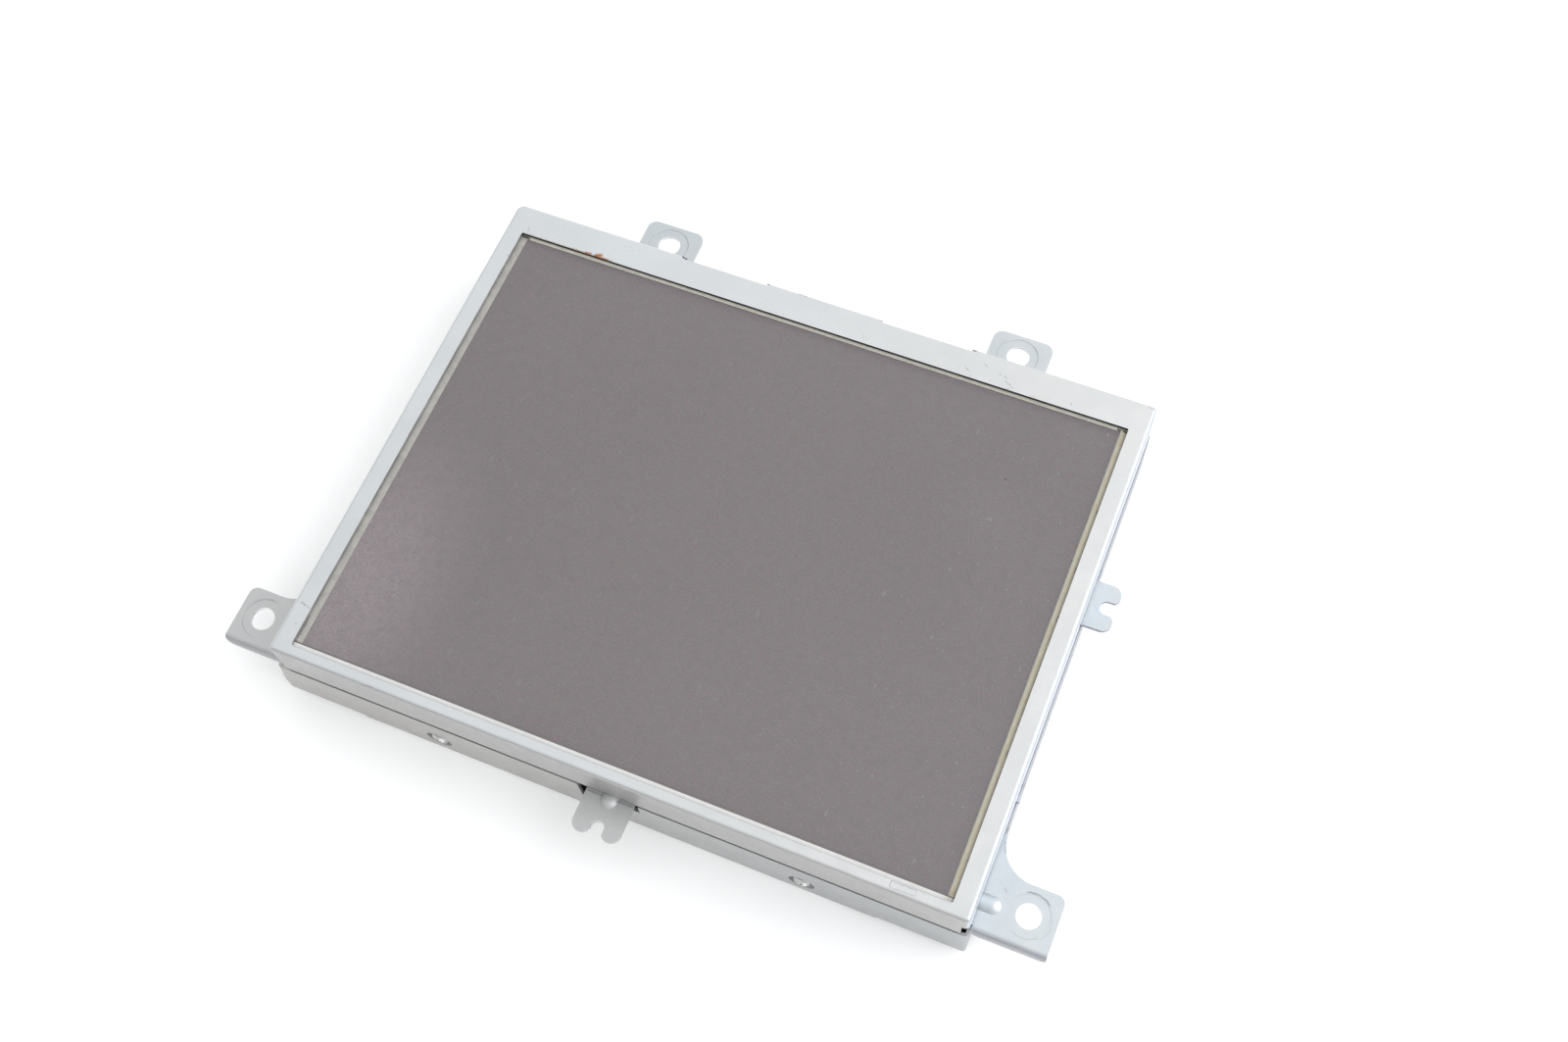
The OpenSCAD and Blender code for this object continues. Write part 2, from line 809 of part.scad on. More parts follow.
module screw_bores(r, from, to) {
    at_screws() translate([from, 0, 0]) rotate([0, 90, 0]) cylinder(r = r, h = to - from);
}

module chassis_tray() {
    difference() {
        translate([bezel_x, 0, unit_d - floor_top])
            bent_tray(chassis_w, chassis_h, flange_d - floor_top, chassis_corner * [1, 1, 1, 1],
                chassis_bend + chassis_t, chassis_t);
        // Open corners, where two flanges meet
        for (x = [-1, 1], y = [-1, 1]) layer(floor_top - cut, flange_d)
            translate([bezel_x + x * chassis_w / 2, y * chassis_h / 2])
                square(2 * chassis_corner, center = true);
        for (s = [-1, 1]) {
            on_side(s) flange_cut(low_hole_y + root_low, low_hole_y + sweep_end);
            on_top(s * top_span / 2) flange_cut(-top_ear_w / 2, top_ear_w / 2);
        }
        on_side(1) flange_cut(fork_y - fork_w / 2, fork_y + fork_w / 2);
        on_bottom(bezel_x) flange_cut(-fork_w / 2, fork_w / 2);
        // Slots that let the ribbons through
        for (r = ribbons)
            layer(floor_top - cut, chassis_t + 2 * cut)
                translate([r[0] - r[1] / 2 - ribbon_play, tft_top - cut])
                    square([r[1] + 2 * ribbon_play, ribbon_slot_y - tft_top + cut]);
    }
}

module chassis() {
    stop_out = cover_right + stop_past - bezel_x - chassis_w / 2;
    color([0.72, 0.76, 0.8])
    difference() {
        union() {
            chassis_tray();
            for (s = [-1, 1]) {
                flange = chassis_w / 2 + s * bezel_x;
                wall = s > 0 ? cover_right - flange : -left_at(unit_d - ear_top - lip_d) - flange;
                on_side(s) translate([0, low_hole_y, 0]) low_ear(low_hole_x - flange, wall);
                on_top(s * top_span / 2) top_ear();
                on_bottom(s * low_screw_x) lug();
                on_top(bezel_x + s * (chassis_w / 2 - top_screw_in)) lug();
            }
            on_side(1) translate([0, fork_y, 0]) side_fork();
            on_bottom(bezel_x) low_fork();
            // Stop that shows through a notch of the cover's right wall
            on_side(1) layer(ear_top, chassis_t) translate([-chassis_t / 2, stop_y - stop_w / 2])
                square([chassis_t / 2 + stop_out, stop_w]);
        }
        screw_bores(screw_r + screw_play, -chassis_t - cut, cut);
    }
}

module insulator_sheet() {
    color([0.9, 0.88, 0.8])
    layer(floor_bottom, sheet_t) difference() {
        translate([0, board_y])
            square([board_w + 2 * sheet_past, board_h + 2 * sheet_past], center = true);
        for (p = post_at) translate(p) circle(post_r + fit);
    }
}

module board_posts() {
    color([0.8, 0.8, 0.78])
    layer(floor_bottom, post_h) for (p = post_at) translate(p) difference() {
        circle(post_r);
        circle(screw_r + screw_play);
    }
}

module control_board() {
    color([0.1, 0.35, 0.2])
    layer(board_top, board_t) difference() {
        translate([0, board_y]) square([board_w, board_h], center = true);
        for (p = post_at) translate(p) circle(screw_r + screw_room);
    }
}

// Pan-head screw: the head's seat is z = 0 and the shaft runs down to -long
module pan_screw(head, long) {
    difference() {
        union() {
            cylinder(r = head, h = 0.7 * head_h);
            translate([0, 0, 0.4 * head_h]) cylinder(r = head - 0.5, h = 0.6 * head_h);
            translate([0, 0, -long]) cylinder(r = screw_r, h = long + cut);
        }
        for (a = [0, 90]) rotate([0, 0, a]) translate([0, 0, head_h + cut - 0.7])
            cube([0.95 * head, 0.6, 2 * cut], center = true);
    }
}

module board_screws() {
    color([0.75, 0.72, 0.6])
    for (p = post_at) translate([p[0], p[1], unit_d - board_bottom]) mirror([0, 0, 1])
        pan_screw(2.4, board_t + post_h - 0.3);
}

// Puts a child of height h below the board; x is counted from the board's right end and
// y from its middle
module on_board(x, y, h) {
    translate([x, board_y + y, unit_d - board_bottom - h]) children();
}

module board_chips() {
    chips = [[-14, 8, 24, 24, 1.8], [20 - board_right, 6, 14, 20, 1.2],
        [20 - board_right, -22, 14, 20, 1.2], [-12, -26, 12, 12, 1.2],
        [board_right - 56, 12, 10, 16, 1.4], [board_right - 18, 20, 8, 10, 1.4]];
    color([0.15, 0.15, 0.16])
    for (c = chips) on_board(c[0], c[1], c[4]) translate([-c[2] / 2, -c[3] / 2, 0])
        cube([c[2], c[3], c[4]]);
}

module board_coils() {
    side = 8;
    h = 4;
    color([0.3, 0.3, 0.32])
    for (x = [34, 18]) on_board(board_right - x, 4, h) union() {
        translate([-side / 2, -side / 2, 0]) cube([side, side, h]);
        translate([0, 0, -0.4]) cylinder(r = side / 2 - 1, h = 1);
    }
}

module board_capacitors() {
    r = 4;
    h = 8;
    base = 1.2;
    color([0.7, 0.72, 0.75])
    for (y = [-6, -18, -30]) on_board(board_right - 14, y, h) union() {
        cylinder(r = r, h = h - base + cut);
        translate([-r - 0.2, -r - 0.2, h - base]) cube([2 * r + 0.4, 2 * r + 0.4, base]);
    }
}

module flex_sockets() {
    color([0.93, 0.92, 0.86])
    for (r = ribbons)
        translate([r[0] - r[1] / 2 - 1, socket_y, unit_d - board_bottom - socket_h])
            cube([r[1] + 2, socket_d, socket_h]);
}

module header_outline(grow = 0) {
    translate(header_at)
        square([header_in[0] + 2 * (header_wall + grow), header_in[1] + 2 * (header_wall + grow)],
            center = true);
}

module rear_header() {
    top = unit_d - header_mouth;
    color([0.12, 0.12, 0.13])
    difference() {
        layer(board_bottom, top - board_bottom) header_outline();
        layer(top - header_cavity, header_cavity + cut) header_outline(-header_wall);
        layer(top - header_cavity, header_cavity + cut) translate(header_at)
            translate([-key_w / 2, 0]) square([key_w, header_in[1] / 2 + header_wall / 2]);
    }
}

module header_pins() {
    color([0.85, 0.75, 0.4])
    layer(unit_d - header_mouth - header_cavity, pin_up)
        for (i = [0 : ways - 1], y = [-0.5, 0.5])
            translate([header_at[0] + (i - (ways - 1) / 2) * pin_pitch, header_at[1] + y * pin_pitch])
                square(pin_w, center = true);
}

// Where the cover's left wall stands at a height above the back panel
function left_at(up) = cover_left + lean * max(0, up - lean_up) / (cover_d - lean_up);

// Section across the cover at the level of the side strips, shrunk by t
module strip_section(t) {
    left = cover_left + t;
    right = cover_right - t;
    low = step_d + t;
    foot = foot_corner - t;
    bend = cover_out - t;
    translate([left, low + foot]) square([right - left, cover_d - step_d - foot]);
    translate([left + foot, low]) square([right - bend - left - foot, foot + cut]);
    translate([right - bend - cut, low + bend]) square([bend + cut, foot - bend + cut]);
    translate([left + foot, low + foot]) circle(foot);
    translate([right - bend, low + bend]) circle(bend);
}

// Section across the middle of the cover, with a slope up to each strip, shrunk by t
module middle_section(t) {
    from = cover_left + step_w;
    to = cover_right - step_w;
    polygon([[from, cover_d + t], [from, step_d + t], [from + slope_left, t],
        [to - slope_right, t], [to, step_d + t], [to, cover_d + t]]);
}

// Bar along x with the cover's section from bottom to top, standing at the height low
module wall_to_wall(low, t) {
    translate([cover_left - cut, 0, low + t]) mirror([0, 0, 1]) rotate([90, 0, 90])
        linear_extrude(cover_w + 2 * cut) slab_section(bezel_h - 2 * t, cover_d - low, cover_out - t);
}

// Solid of the cover, shrunk by t: its left wall leans out, and the strips are stepped in
module cover_solid(t) {
    h = bezel_h - 2 * t;
    r = max(cover_corner, cover_bend) + cover_t - t;
    intersection() {
        union() {
            intersection() {
                rotate([90, 0, 0]) linear_extrude(bezel_h + 2 * cut, center = true) strip_section(t);
                wall_to_wall(step_d, t);
            }
            intersection() {
                rotate([90, 0, 0]) linear_extrude(bezel_h + 2 * cut, center = true) middle_section(t);
                wall_to_wall(0, t);
            }
        }
        translate([cover_left + cover_w / 2, 0, -cut])
            linear_extrude(cover_d + 2 * cut + t) rounded_rect(cover_w - 2 * t, h, r);
        translate([cover_left, 0, lean_up]) rotate([0, lean_angle, 0])
            translate([t + cover_w, 0, -cover_w]) linear_extrude(2 * cover_w)
                rounded_rect(2 * cover_w, h, r);
    }
}

// Notch in a wall of the cover, from its rim down
module wall_notch(low, high, deep) {
    layer(rim - cut, deep + cut) translate([cut / 2, low]) square([20, high - low]);
}

module rear_cover() {
    sheet_pass = ear_top + chassis_t + pass_under - rim;
    color([0.75, 0.76, 0.77])
    difference() {
        union() {
            difference() {
                cover_solid(0);
                cover_solid(cover_t);
            }
            screw_bores(dimple_r + dimple_wall, 0, wall_out - cover_t / 2);
        }
        screw_bores(dimple_r, cover_t, wall_out + cut);
        screw_bores(screw_r + screw_room, -cut, cover_t + cut);
        for (s = [-1, 1]) {
            on_side(s) translate([0, low_hole_y, 0])
                wall_notch(lip_set - low_up, sweep_end + pass_gap, sheet_pass);
            on_top(s * top_span / 2)
                wall_notch(-top_ear_w / 2 - pass_gap, top_ear_w / 2 + pass_gap, sheet_pass);
        }
        on_side(1) wall_notch(fork_y - fork_w / 2 - pass_gap, fork_y + fork_w / 2 + 2 * pass_gap,
            sheet_pass);
        on_side(1) wall_notch(stop_y - stop_w / 2 - stop_room, stop_y + stop_w / 2 + stop_room,
            sheet_pass);
        on_bottom(bezel_x) wall_notch(-fork_w / 2 - fork_pass_left, fork_w / 4, fork_pass_d);
        on_bottom(bezel_x) wall_notch(0, fork_w / 2 + fork_pass_right, fork_pass_d / 2);
        layer(unit_d - cover_t - cut, cover_t + 2 * cut) header_outline(window_gap);
    }
}

module cover_screws() {
    color([0.85, 0.82, 0.7])
    at_screws() translate([cover_t, 0, 0]) rotate([0, 90, 0]) pan_screw(head_r, screw_len);
}

front_bezel();
bezel_gasket();
edge_tape();
touch_film();
touch_glass();
touch_flex();
panel_gasket();
front_polariser();
filter_glass();
tft_glass();
driver_chips();
panel_flex();
rear_polariser();
mould_frame();
prism_sheet();
diffuser_sheet();
light_guide();
reflector_sheet();
led_strip();
backlight_leds();
led_flex();
chassis();
insulator_sheet();
board_posts();
control_board();
board_screws();
board_chips();
board_coils();
board_capacitors();
flex_sockets();
rear_header();
header_pins();
rear_cover();
cover_screws();
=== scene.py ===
import json
import math

import bmesh
import bpy
from mathutils import Matrix, Vector


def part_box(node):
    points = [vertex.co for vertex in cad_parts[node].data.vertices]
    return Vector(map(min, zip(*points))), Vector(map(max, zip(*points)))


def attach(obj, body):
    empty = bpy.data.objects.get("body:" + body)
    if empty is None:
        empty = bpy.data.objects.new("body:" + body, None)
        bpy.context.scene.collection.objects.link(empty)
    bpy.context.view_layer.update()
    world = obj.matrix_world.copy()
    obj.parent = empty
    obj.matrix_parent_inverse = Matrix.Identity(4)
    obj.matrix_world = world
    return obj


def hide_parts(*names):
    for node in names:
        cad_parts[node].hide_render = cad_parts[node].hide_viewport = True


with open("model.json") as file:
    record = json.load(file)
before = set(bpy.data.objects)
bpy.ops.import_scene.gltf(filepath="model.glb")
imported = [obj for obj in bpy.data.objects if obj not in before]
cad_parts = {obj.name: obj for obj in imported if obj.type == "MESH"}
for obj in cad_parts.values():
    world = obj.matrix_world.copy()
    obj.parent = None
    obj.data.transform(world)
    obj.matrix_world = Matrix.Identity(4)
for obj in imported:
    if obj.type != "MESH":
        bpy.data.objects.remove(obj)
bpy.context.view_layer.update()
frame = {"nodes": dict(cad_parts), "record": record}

NODES = frame["nodes"]
MOUNTS = {mount["name"]: mount for mount in frame["record"]["mounts"]}
MM = 1000.0


def corners(node):
    """A node's lowest and highest corners, in millimetres."""
    return [[round(v * MM, 2) for v in corner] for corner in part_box(node)]


def hole_pair(name):
    """The middles of a mount's two screw holes, in millimetres."""
    x, y = (round(v * MM, 2) for v in MOUNTS[name]["pos_m"][:2])
    reach = MOUNTS[name]["dims"]["spacing_x_mm"] / 2
    return (x - reach, y), (x + reach, y)


# Places on the part, in millimetres
BEZEL_LOW, BEZEL_HIGH = corners("front_bezel")
GLASS_LOW, GLASS_HIGH = corners("touch_glass")
FILM_LOW, FILM_HIGH = corners("touch_film")
COVER_LOW, COVER_HIGH = corners("rear_cover")
# levels of the bezel's face, of the film and tape, and of the ears' and tabs' upper sides
FACE = BEZEL_HIGH[2]
FILM = FILM_HIGH[2]
EAR = round(MOUNTS["right_tab_slot"]["pos_m"][2] * MM, 2)
# how far the glass reaches under the bezel, and the bezel's opening
OVERLAP = 1.1
OPEN_LEFT = GLASS_LOW[0] + OVERLAP
OPEN_LOW = GLASS_LOW[1] + OVERLAP
OPEN_RIGHT = GLASS_HIGH[0] - OVERLAP
OPEN_TOP = GLASS_HIGH[1] - OVERLAP
# the four screw holes in the ears, and how far the bottom ears' flats reach below theirs
HOLE_R = MOUNTS["top_ears"]["dims"]["hole_r_mm"]
TOP_LEFT, TOP_RIGHT = hole_pair("top_ears")
LOW_LEFT, LOW_RIGHT = hole_pair("bottom_ears")
EAR_SIDE = 7.4
# each cover screw's x, the side of the housing that it is on, and the turn of its cross in degrees
SCREWS = ((-50.5, -1, 24.0), (50.5, -1, 61.0), (-75.9, 1, 38.0), (76.3, 1, 8.0))
SCREW_Z = 7.5
# how far each screw's seat is from the housing's middle
SEAT = 71.0

# Colours that several marks share
RUST = (0.42, 0.13, 0.035)
OLIVE = (0.36, 0.31, 0.20)
GREY = (0.33, 0.33, 0.35)
DARK = (0.10, 0.10, 0.13)
VIOLET = (0.09, 0.07, 0.12)
BLACK = (0.030, 0.024, 0.036)

# The share of a mark's half width over which it fades out
FADE = 0.9
# How far marks are shaken, in millimetres, and how many shakes there are in a millimetre
SHAKE = 0.4
SHAKE_SCALE = 1.3
# The share of a speck's radius inside which it is full
SPECK_CORE = 0.6
# How metallic the zinc plating is
PLATING = 0.9
# Sockets of a colour mix node
MIX_SHARE, MIX_A, MIX_B, MIX_RESULT = 0, 6, 7, 2


def scaled(colour, k):
    """A colour made lighter or darker."""
    return tuple(min(1.0, c * k) for c in colour)


class Surface:
    """One procedural material on the object's own coordinates, in millimetres."""

    def __init__(self, name, rough=0.5, metal=0.0):
        self.mat = bpy.data.materials.new(name)
        self.mat.use_nodes = True
        self.tree = self.mat.node_tree
        self.shader = self.tree.nodes["Principled BSDF"]
        self.rough(rough)
        self.metal(metal)
        self.place = self.scale(self.node("ShaderNodeTexCoord").outputs["Object"], MM)
        self.x, self.y, self.z = self.node("ShaderNodeSeparateXYZ", {0: self.place}).outputs
        self.shaken = None

    def put(self, socket, value):
        """Links an output to a socket, or sets the socket's own value."""
        if isinstance(value, bpy.types.NodeSocket):
            self.tree.links.new(value, socket)
        elif isinstance(value, tuple) and len(socket.default_value) == len(value) + 1:
            socket.default_value = (*value, 1.0)
        else:
            socket.default_value = value

    def node(self, kind, values=(), **settings):
        """Adds a node, with its settings and the values of its inputs by name or number."""
        node = self.tree.nodes.new(kind)
        for key, setting in settings.items():
            setattr(node, key, setting)
        for key, value in dict(values).items():
            self.put(node.inputs[key], value)
        return node

    def colour(self, value):
        self.put(self.shader.inputs["Base Color"], value)

    def rough(self, value):
        self.put(self.shader.inputs["Roughness"], value)

    def metal(self, value):
        self.put(self.shader.inputs["Metallic"], value)

    def bump(self, height, depth, strength):
        """Gives the surface a relief; depth is in metres."""
        node = self.node("ShaderNodeBump", {"Strength": strength, "Distance": depth, "Height": height})
        self.put(self.shader.inputs["Normal"], node.outputs[0])

    def maths(self, op, *values, clamp=False):
        """The result of a maths node on numbers."""
        return self.node("ShaderNodeMath", enumerate(values), operation=op, use_clamp=clamp).outputs[0]

    def vector(self, op, *values):
        """The result of a maths node on vectors, which is a number where the operation gives one."""
        node = self.node("ShaderNodeVectorMath", enumerate(values), operation=op)
        return node.outputs["Value" if op in ("DOT_PRODUCT", "LENGTH", "DISTANCE") else "Vector"]

    def scale(self, value, factor):
        """A vector made longer or shorter."""
        return self.node("ShaderNodeVectorMath", {0: value, "Scale": factor}, operation="SCALE").outputs[0]

    def mix(self, share, a, b):
        """A colour between a and b: a where the share is 0, b where it is 1."""
        node = self.node("ShaderNodeMix", {MIX_SHARE: share, MIX_A: a, MIX_B: b}, data_type="RGBA")
        return node.outputs[MIX_RESULT]

    def step(self, value, low, high, out_low=0.0, out_high=1.0):
        """Runs smoothly from out_low to out_high while the value goes from low to high."""
        inputs = {"Value": value, "From Min": low, "From Max": high, "To Min": out_low, "To Max": out_high}
        return self.node("ShaderNodeMapRange", inputs, interpolation_type="SMOOTHSTEP").outputs[0]

    def noise_node(self, scale, detail=3.0, rough=0.5, at=None, distort=0.0):
        """Adds noise; scale is about how many of its lumps there are in a millimetre."""
        inputs = {"Scale": scale, "Detail": detail, "Roughness": rough, "Distortion": distort}
        return self.node("ShaderNodeTexNoise", {"Vector": at or self.place, **inputs})

    def noise(self, *amounts, **options):
        """Noise from 0 to 1, with the amounts and options of noise_node."""
        return self.noise_node(*amounts, **options).outputs[0]

    def drawn_out(self, along_y):
        """The place with y made smaller, so that a pattern on it is drawn out along y."""
        return self.vector("MULTIPLY", self.place, (1.0, along_y, 1.0))

    def moved(self, by):
        """The place moved by a vector, so that a second noise differs from the first."""
        return self.vector("ADD", self.place, by)

    def loose(self):
        """The place, shaken a little, so that marks get uneven sides."""
        if self.shaken is None:
            noise = self.noise_node(SHAKE_SCALE, 2.0).outputs[1]
            around_zero = self.vector("SUBTRACT", noise, (0.5, 0.5, 0.5))
            shake = self.vector("MULTIPLY", around_zero, (SHAKE, SHAKE, 0.0))
            self.shaken = self.vector("ADD", self.place, shake)
        return self.shaken

    def upright(self):
        """How far the surface faces up or down: 0 on a vertical wall, 1 on a flat."""
        normal = self.node("ShaderNodeNewGeometry").outputs["True Normal"]
        return self.maths("ABSOLUTE", self.node("ShaderNodeSeparateXYZ", {0: normal}).outputs[2])

    def all_of(self, *masks):
        """The product of masks: where all of them are."""
        whole = masks[0]
        for mask in masks[1:]:
            whole = self.maths("MULTIPLY", whole, mask)
        return whole

    def any_of(self, *masks):
        """The highest of masks: where any of them is."""
        whole = masks[0]
        for mask in masks[1:]:
            whole = self.maths("MAXIMUM", whole, mask)
        return whole

    def inside(self, value, low, high, soft):
        """Mask of a band of a value, with soft sides."""
        rise = self.step(value, low - soft, low + soft)
        return self.all_of(rise, self.step(value, high + soft, high - soft))

    def outward(self, point, centre):
        """The way from a vertical axis through the centre to a point."""
        return self.vector("MULTIPLY", self.vector("SUBTRACT", point, centre), (1.0, 1.0, 0.0))

    def specks(self, scale, radius, share, at=None):
        """Round specks with sharp sides, in a share of the cells of a random net."""
        inputs = {"Vector": at or self.place, "Scale": scale}
        cells = self.node("ShaderNodeTexVoronoi", inputs, voronoi_dimensions="2D")
        lots = self.node("ShaderNodeSeparateColor", {0: cells.outputs["Color"]}).outputs
        size = self.maths("MULTIPLY", lots[1], radius)
        dot = self.step(cells.outputs["Distance"], size, self.maths("MULTIPLY", size, SPECK_CORE))
        return self.all_of(dot, self.maths("LESS_THAN", lots[0], share))

    def spot(self, centre, radius, soft):
        """Mask of a ball about a point; soft is the share of the radius over which it fades out."""
        return self.step(self.vector("DISTANCE", self.loose(), centre), radius, radius * (1 - soft))

    def stroke(self, start, end, width):
        """Mask of a straight mark between two points."""
        run = Vector(end) - Vector(start)
        offset = self.vector("SUBTRACT", self.loose(), start)
        along = self.vector("DOT_PRODUCT", offset, tuple(run))
        share = self.maths("DIVIDE", along, run.length_squared, clamp=True)
        gap = self.vector("DISTANCE", offset, self.scale(tuple(run), share))
        return self.step(gap, width / 2, width / 2 * (1 - FADE))

    def arc(self, centre, radius, width, toward, spread):
        """Mask of part of a ring about a vertical axis.

        toward is the direction of its middle and spread half its angle, both in degrees."""
        offset = self.outward(self.loose(), centre)
        gap = self.maths("ABSOLUTE", self.maths("SUBTRACT", self.vector("LENGTH", offset), radius))
        turn = math.radians(toward)
        middle = (math.cos(turn), math.sin(turn), 0.0)
        side = self.vector("DOT_PRODUCT", self.vector("NORMALIZE", offset), middle)
        reach = math.cos(math.radians(spread))
        ring = self.step(gap, width / 2, width / 2 * (1 - FADE))
        return self.all_of(ring, self.step(side, reach, (reach + 1) / 2))

    def marks(self, base, colour, level, rows):
        """Marks of one colour at one level: rows of x0, y0, x1, y1, width and strength."""
        for x0, y0, x1, y1, width, strength in rows:
            mask = self.stroke((x0, y0, level), (x1, y1, level), width)
            base = self.mix(self.all_of(mask, strength), base, colour)
        return base

    def on(self, *names):
        """Puts the material on CAD nodes."""
        for name in names:
            for material_slot in NODES[name].material_slots:
                material_slot.material = self.mat


class ZincSheet(Surface):
    """Zinc-plated sheet metal, with the gloss and relief of its plating."""

    def __init__(self, name, rough=0.42):
        super().__init__(name, metal=PLATING)
        self.patch = self.noise(0.16, 3.0, 0.55, distort=0.6)
        self.line = self.noise(1.4, 2.0, 0.6)
        self.fine = self.noise(5.0, 2.0, 0.6)
        clouded = self.step(self.patch, 0.3, 0.7, rough - 0.05, rough + 0.06)
        self.rough(self.maths("ADD", clouded, self.step(self.line, 0.35, 0.65, -0.03, 0.03)))
        self.bump(self.maths("ADD", self.maths("MULTIPLY", self.fine, 0.4), self.line), 0.000006, 0.5)

    def tint(self, left, right):
        """Its colour, which runs from one tint to another along x."""
        cloud = self.noise(0.035, 4.0, 0.6)
        base = self.mix(self.step(self.x, -70.0, 85.0), left, right)
        base = self.mix(self.step(cloud, 0.35, 0.65, 0.30, 0.0), base, scaled(left, 0.86))
        base = self.mix(self.step(self.patch, 0.45, 0.75, 0.0, 0.25), base, scaled(right, 1.08))
        base = self.mix(self.step(self.line, 0.42, 0.66, 0.0, 0.16), base, scaled(left, 0.88))
        return self.mix(self.step(self.fine, 0.45, 0.75, 0.0, 0.12), base, (0.82, 0.82, 0.82))


def paint_bezel():
    s = ZincSheet("bezel_zinc")
    # painted light: the face's tint is lighter and bluer at the left and darker and warmer at the right,
    # evening out the key light
    base = s.tint((0.675, 0.697, 0.705), (0.660, 0.658, 0.650))
    # painted light: a bluish reflection on the right skirt, and painted shade on the bend on the right and
    # on the lower skirt
    right, low = BEZEL_HIGH[0], BEZEL_LOW[1]
    right_skirt_reflection = s.step(s.x, right - 0.6, right - 0.15)
    right_bend_shade = s.all_of(s.step(s.x, right - 1.0, right - 0.8), s.step(s.z, FACE - 1.3, FACE - 0.9))
    low_skirt_shade = s.all_of(s.step(s.y, low + 0.7, low + 0.1), s.step(s.x, right - 0.2, right - 0.7))
    base = s.mix(right_skirt_reflection, base, (0.59, 0.645, 0.72))
    base = s.mix(right_bend_shade, base, (0.47, 0.49, 0.52))
    base = s.mix(low_skirt_shade, base, (0.425, 0.422, 0.414))
    # rust along the upper side of the opening
    base = s.marks(base, OLIVE, FACE, [
        (-87.3, 63.3, -72.0, 63.3, 0.5, 0.55), (-72.0, 63.3, -60.0, 63.4, 0.7, 0.5),
        (-86.4, 65.2, -86.3, 64.4, 0.8, 0.35), (-91.3, 64.0, -91.0, 63.0, 0.6, 0.12)])
    base = s.marks(base, RUST, FACE, [
        (-64.8, 63.6, -63.5, 64.0, 1.6, 0.9), (-65.1, 63.2, -61.2, 63.3, 1.1, 0.8),
        (-67.9, 63.4, -66.4, 63.5, 1.1, 0.8), (-71.9, 63.3, -68.4, 63.3, 0.5, 0.3),
        (54.9, 63.5, 55.4, 63.5, 0.5, 0.35), (61.2, 63.6, 62.5, 63.6, 0.5, 0.35),
        (35.6, 63.9, 35.8, 63.8, 0.5, 0.3), (-70.9, 63.6, -70.4, 63.5, 0.5, 0.3)])
    # scuffs near the upper right ear, and painted shade in its dents
    base = s.marks(base, GREY, FACE, [
        (46.6, 68.6, 47.3, 68.4, 0.35, 0.35), (47.3, 68.3, 47.7, 67.8, 0.4, 0.75),
        (51.5, 67.0, 52.0, 66.8, 0.45, 0.6), (53.0, 66.9, 53.6, 66.4, 0.45, 0.7),
        (53.7, 65.6, 54.4, 65.0, 0.4, 0.75), (54.7, 65.0, 55.3, 64.8, 0.5, 0.8),
        (55.8, 64.5, 56.1, 63.9, 0.35, 0.6), (42.1, 66.4, 43.3, 65.2, 0.3, 0.65),
        (42.2, 65.5, 44.0, 64.8, 0.25, 0.5), (40.7, 65.8, 41.0, 64.5, 0.25, 0.4),
        (37.2, 65.6, 36.2, 64.2, 0.25, 0.4), (49.6, 64.3, 50.7, 63.9, 0.3, 0.5),
        (44.4, 63.8, 44.6, 63.7, 0.3, 0.7), (65.8, 64.4, 65.9, 64.3, 0.35, 0.6),
        (71.8, 65.1, 72.0, 64.8, 0.45, 0.8)])
    # single small scuffs round the rest of the face
    base = s.marks(base, GREY, FACE, [
        (-57.2, 69.8, -56.9, 69.4, 0.3, 0.4), (-56.1, 68.6, -55.9, 68.5, 0.35, 0.45),
        (0.4, 66.4, 0.5, 66.3, 0.35, 0.35), (-9.0, 64.4, -8.9, 64.0, 0.3, 0.3),
        (13.7, 65.8, 14.0, 64.6, 0.35, 0.28), (14.1, 64.5, 15.2, 64.5, 0.35, 0.28),
        (15.3, 66.2, 15.5, 65.2, 0.35, 0.25), (-90.7, -57.9, -89.6, -58.2, 0.6, 0.85),
        (-89.6, -58.2, -87.9, -58.7, 0.45, 0.7), (-89.3, -63.3, -89.1, -63.6, 0.8, 0.35),
        (-88.0, 55.1, -87.8, 54.9, 0.5, 0.7), (91.9, -71.7, 92.4, -71.9, 0.5, 0.6),
        (90.9, 71.3, 92.2, 70.8, 0.7, 0.3), (15.6, -71.0, 15.3, -68.7, 0.25, 0.15)])
    # painted shade in an outline pressed in at the lower right, and smears on the lower bend
    base = s.marks(base, GREY, FACE, [
        (73.1, -69.4, 73.1, -70.8, 0.34, 0.9), (73.2, -69.35, 79.2, -69.3, 0.3, 0.75),
        (79.2, -69.3, 86.0, -69.05, 0.2, 0.3), (73.2, -70.85, 79.2, -70.7, 0.3, 0.6),
        (79.3, -69.4, 79.3, -70.6, 0.25, 0.4), (82.3, -68.9, 82.4, -72.0, 0.18, 0.22)])
    base = s.marks(base, (0.36, 0.30, 0.31), FACE - 0.2, [
        (-65.6, -71.9, -63.0, -71.5, 0.6, 0.6), (-46.4, -71.8, -45.2, -71.5, 0.5, 0.5)])
    # painted shade in dark gaps along the upper edge
    base = s.marks(base, DARK, FACE - 0.1, [
        (-17.6, 71.4, -16.2, 71.5, 1.0, 0.95), (-7.0, 71.95, -5.4, 71.95, 1.5, 0.9),
        (-5.2, 72.1, -2.0, 72.1, 1.3, 0.7), (42.3, 71.5, 43.3, 71.5, 1.0, 0.95)])
    base = s.marks(base, (0.30, 0.28, 0.45), FACE - 0.1, [
        (16.4, 71.5, 17.8, 71.4, 0.9, 0.6), (21.6, 71.0, 22.4, 71.0, 0.4, 0.5)])
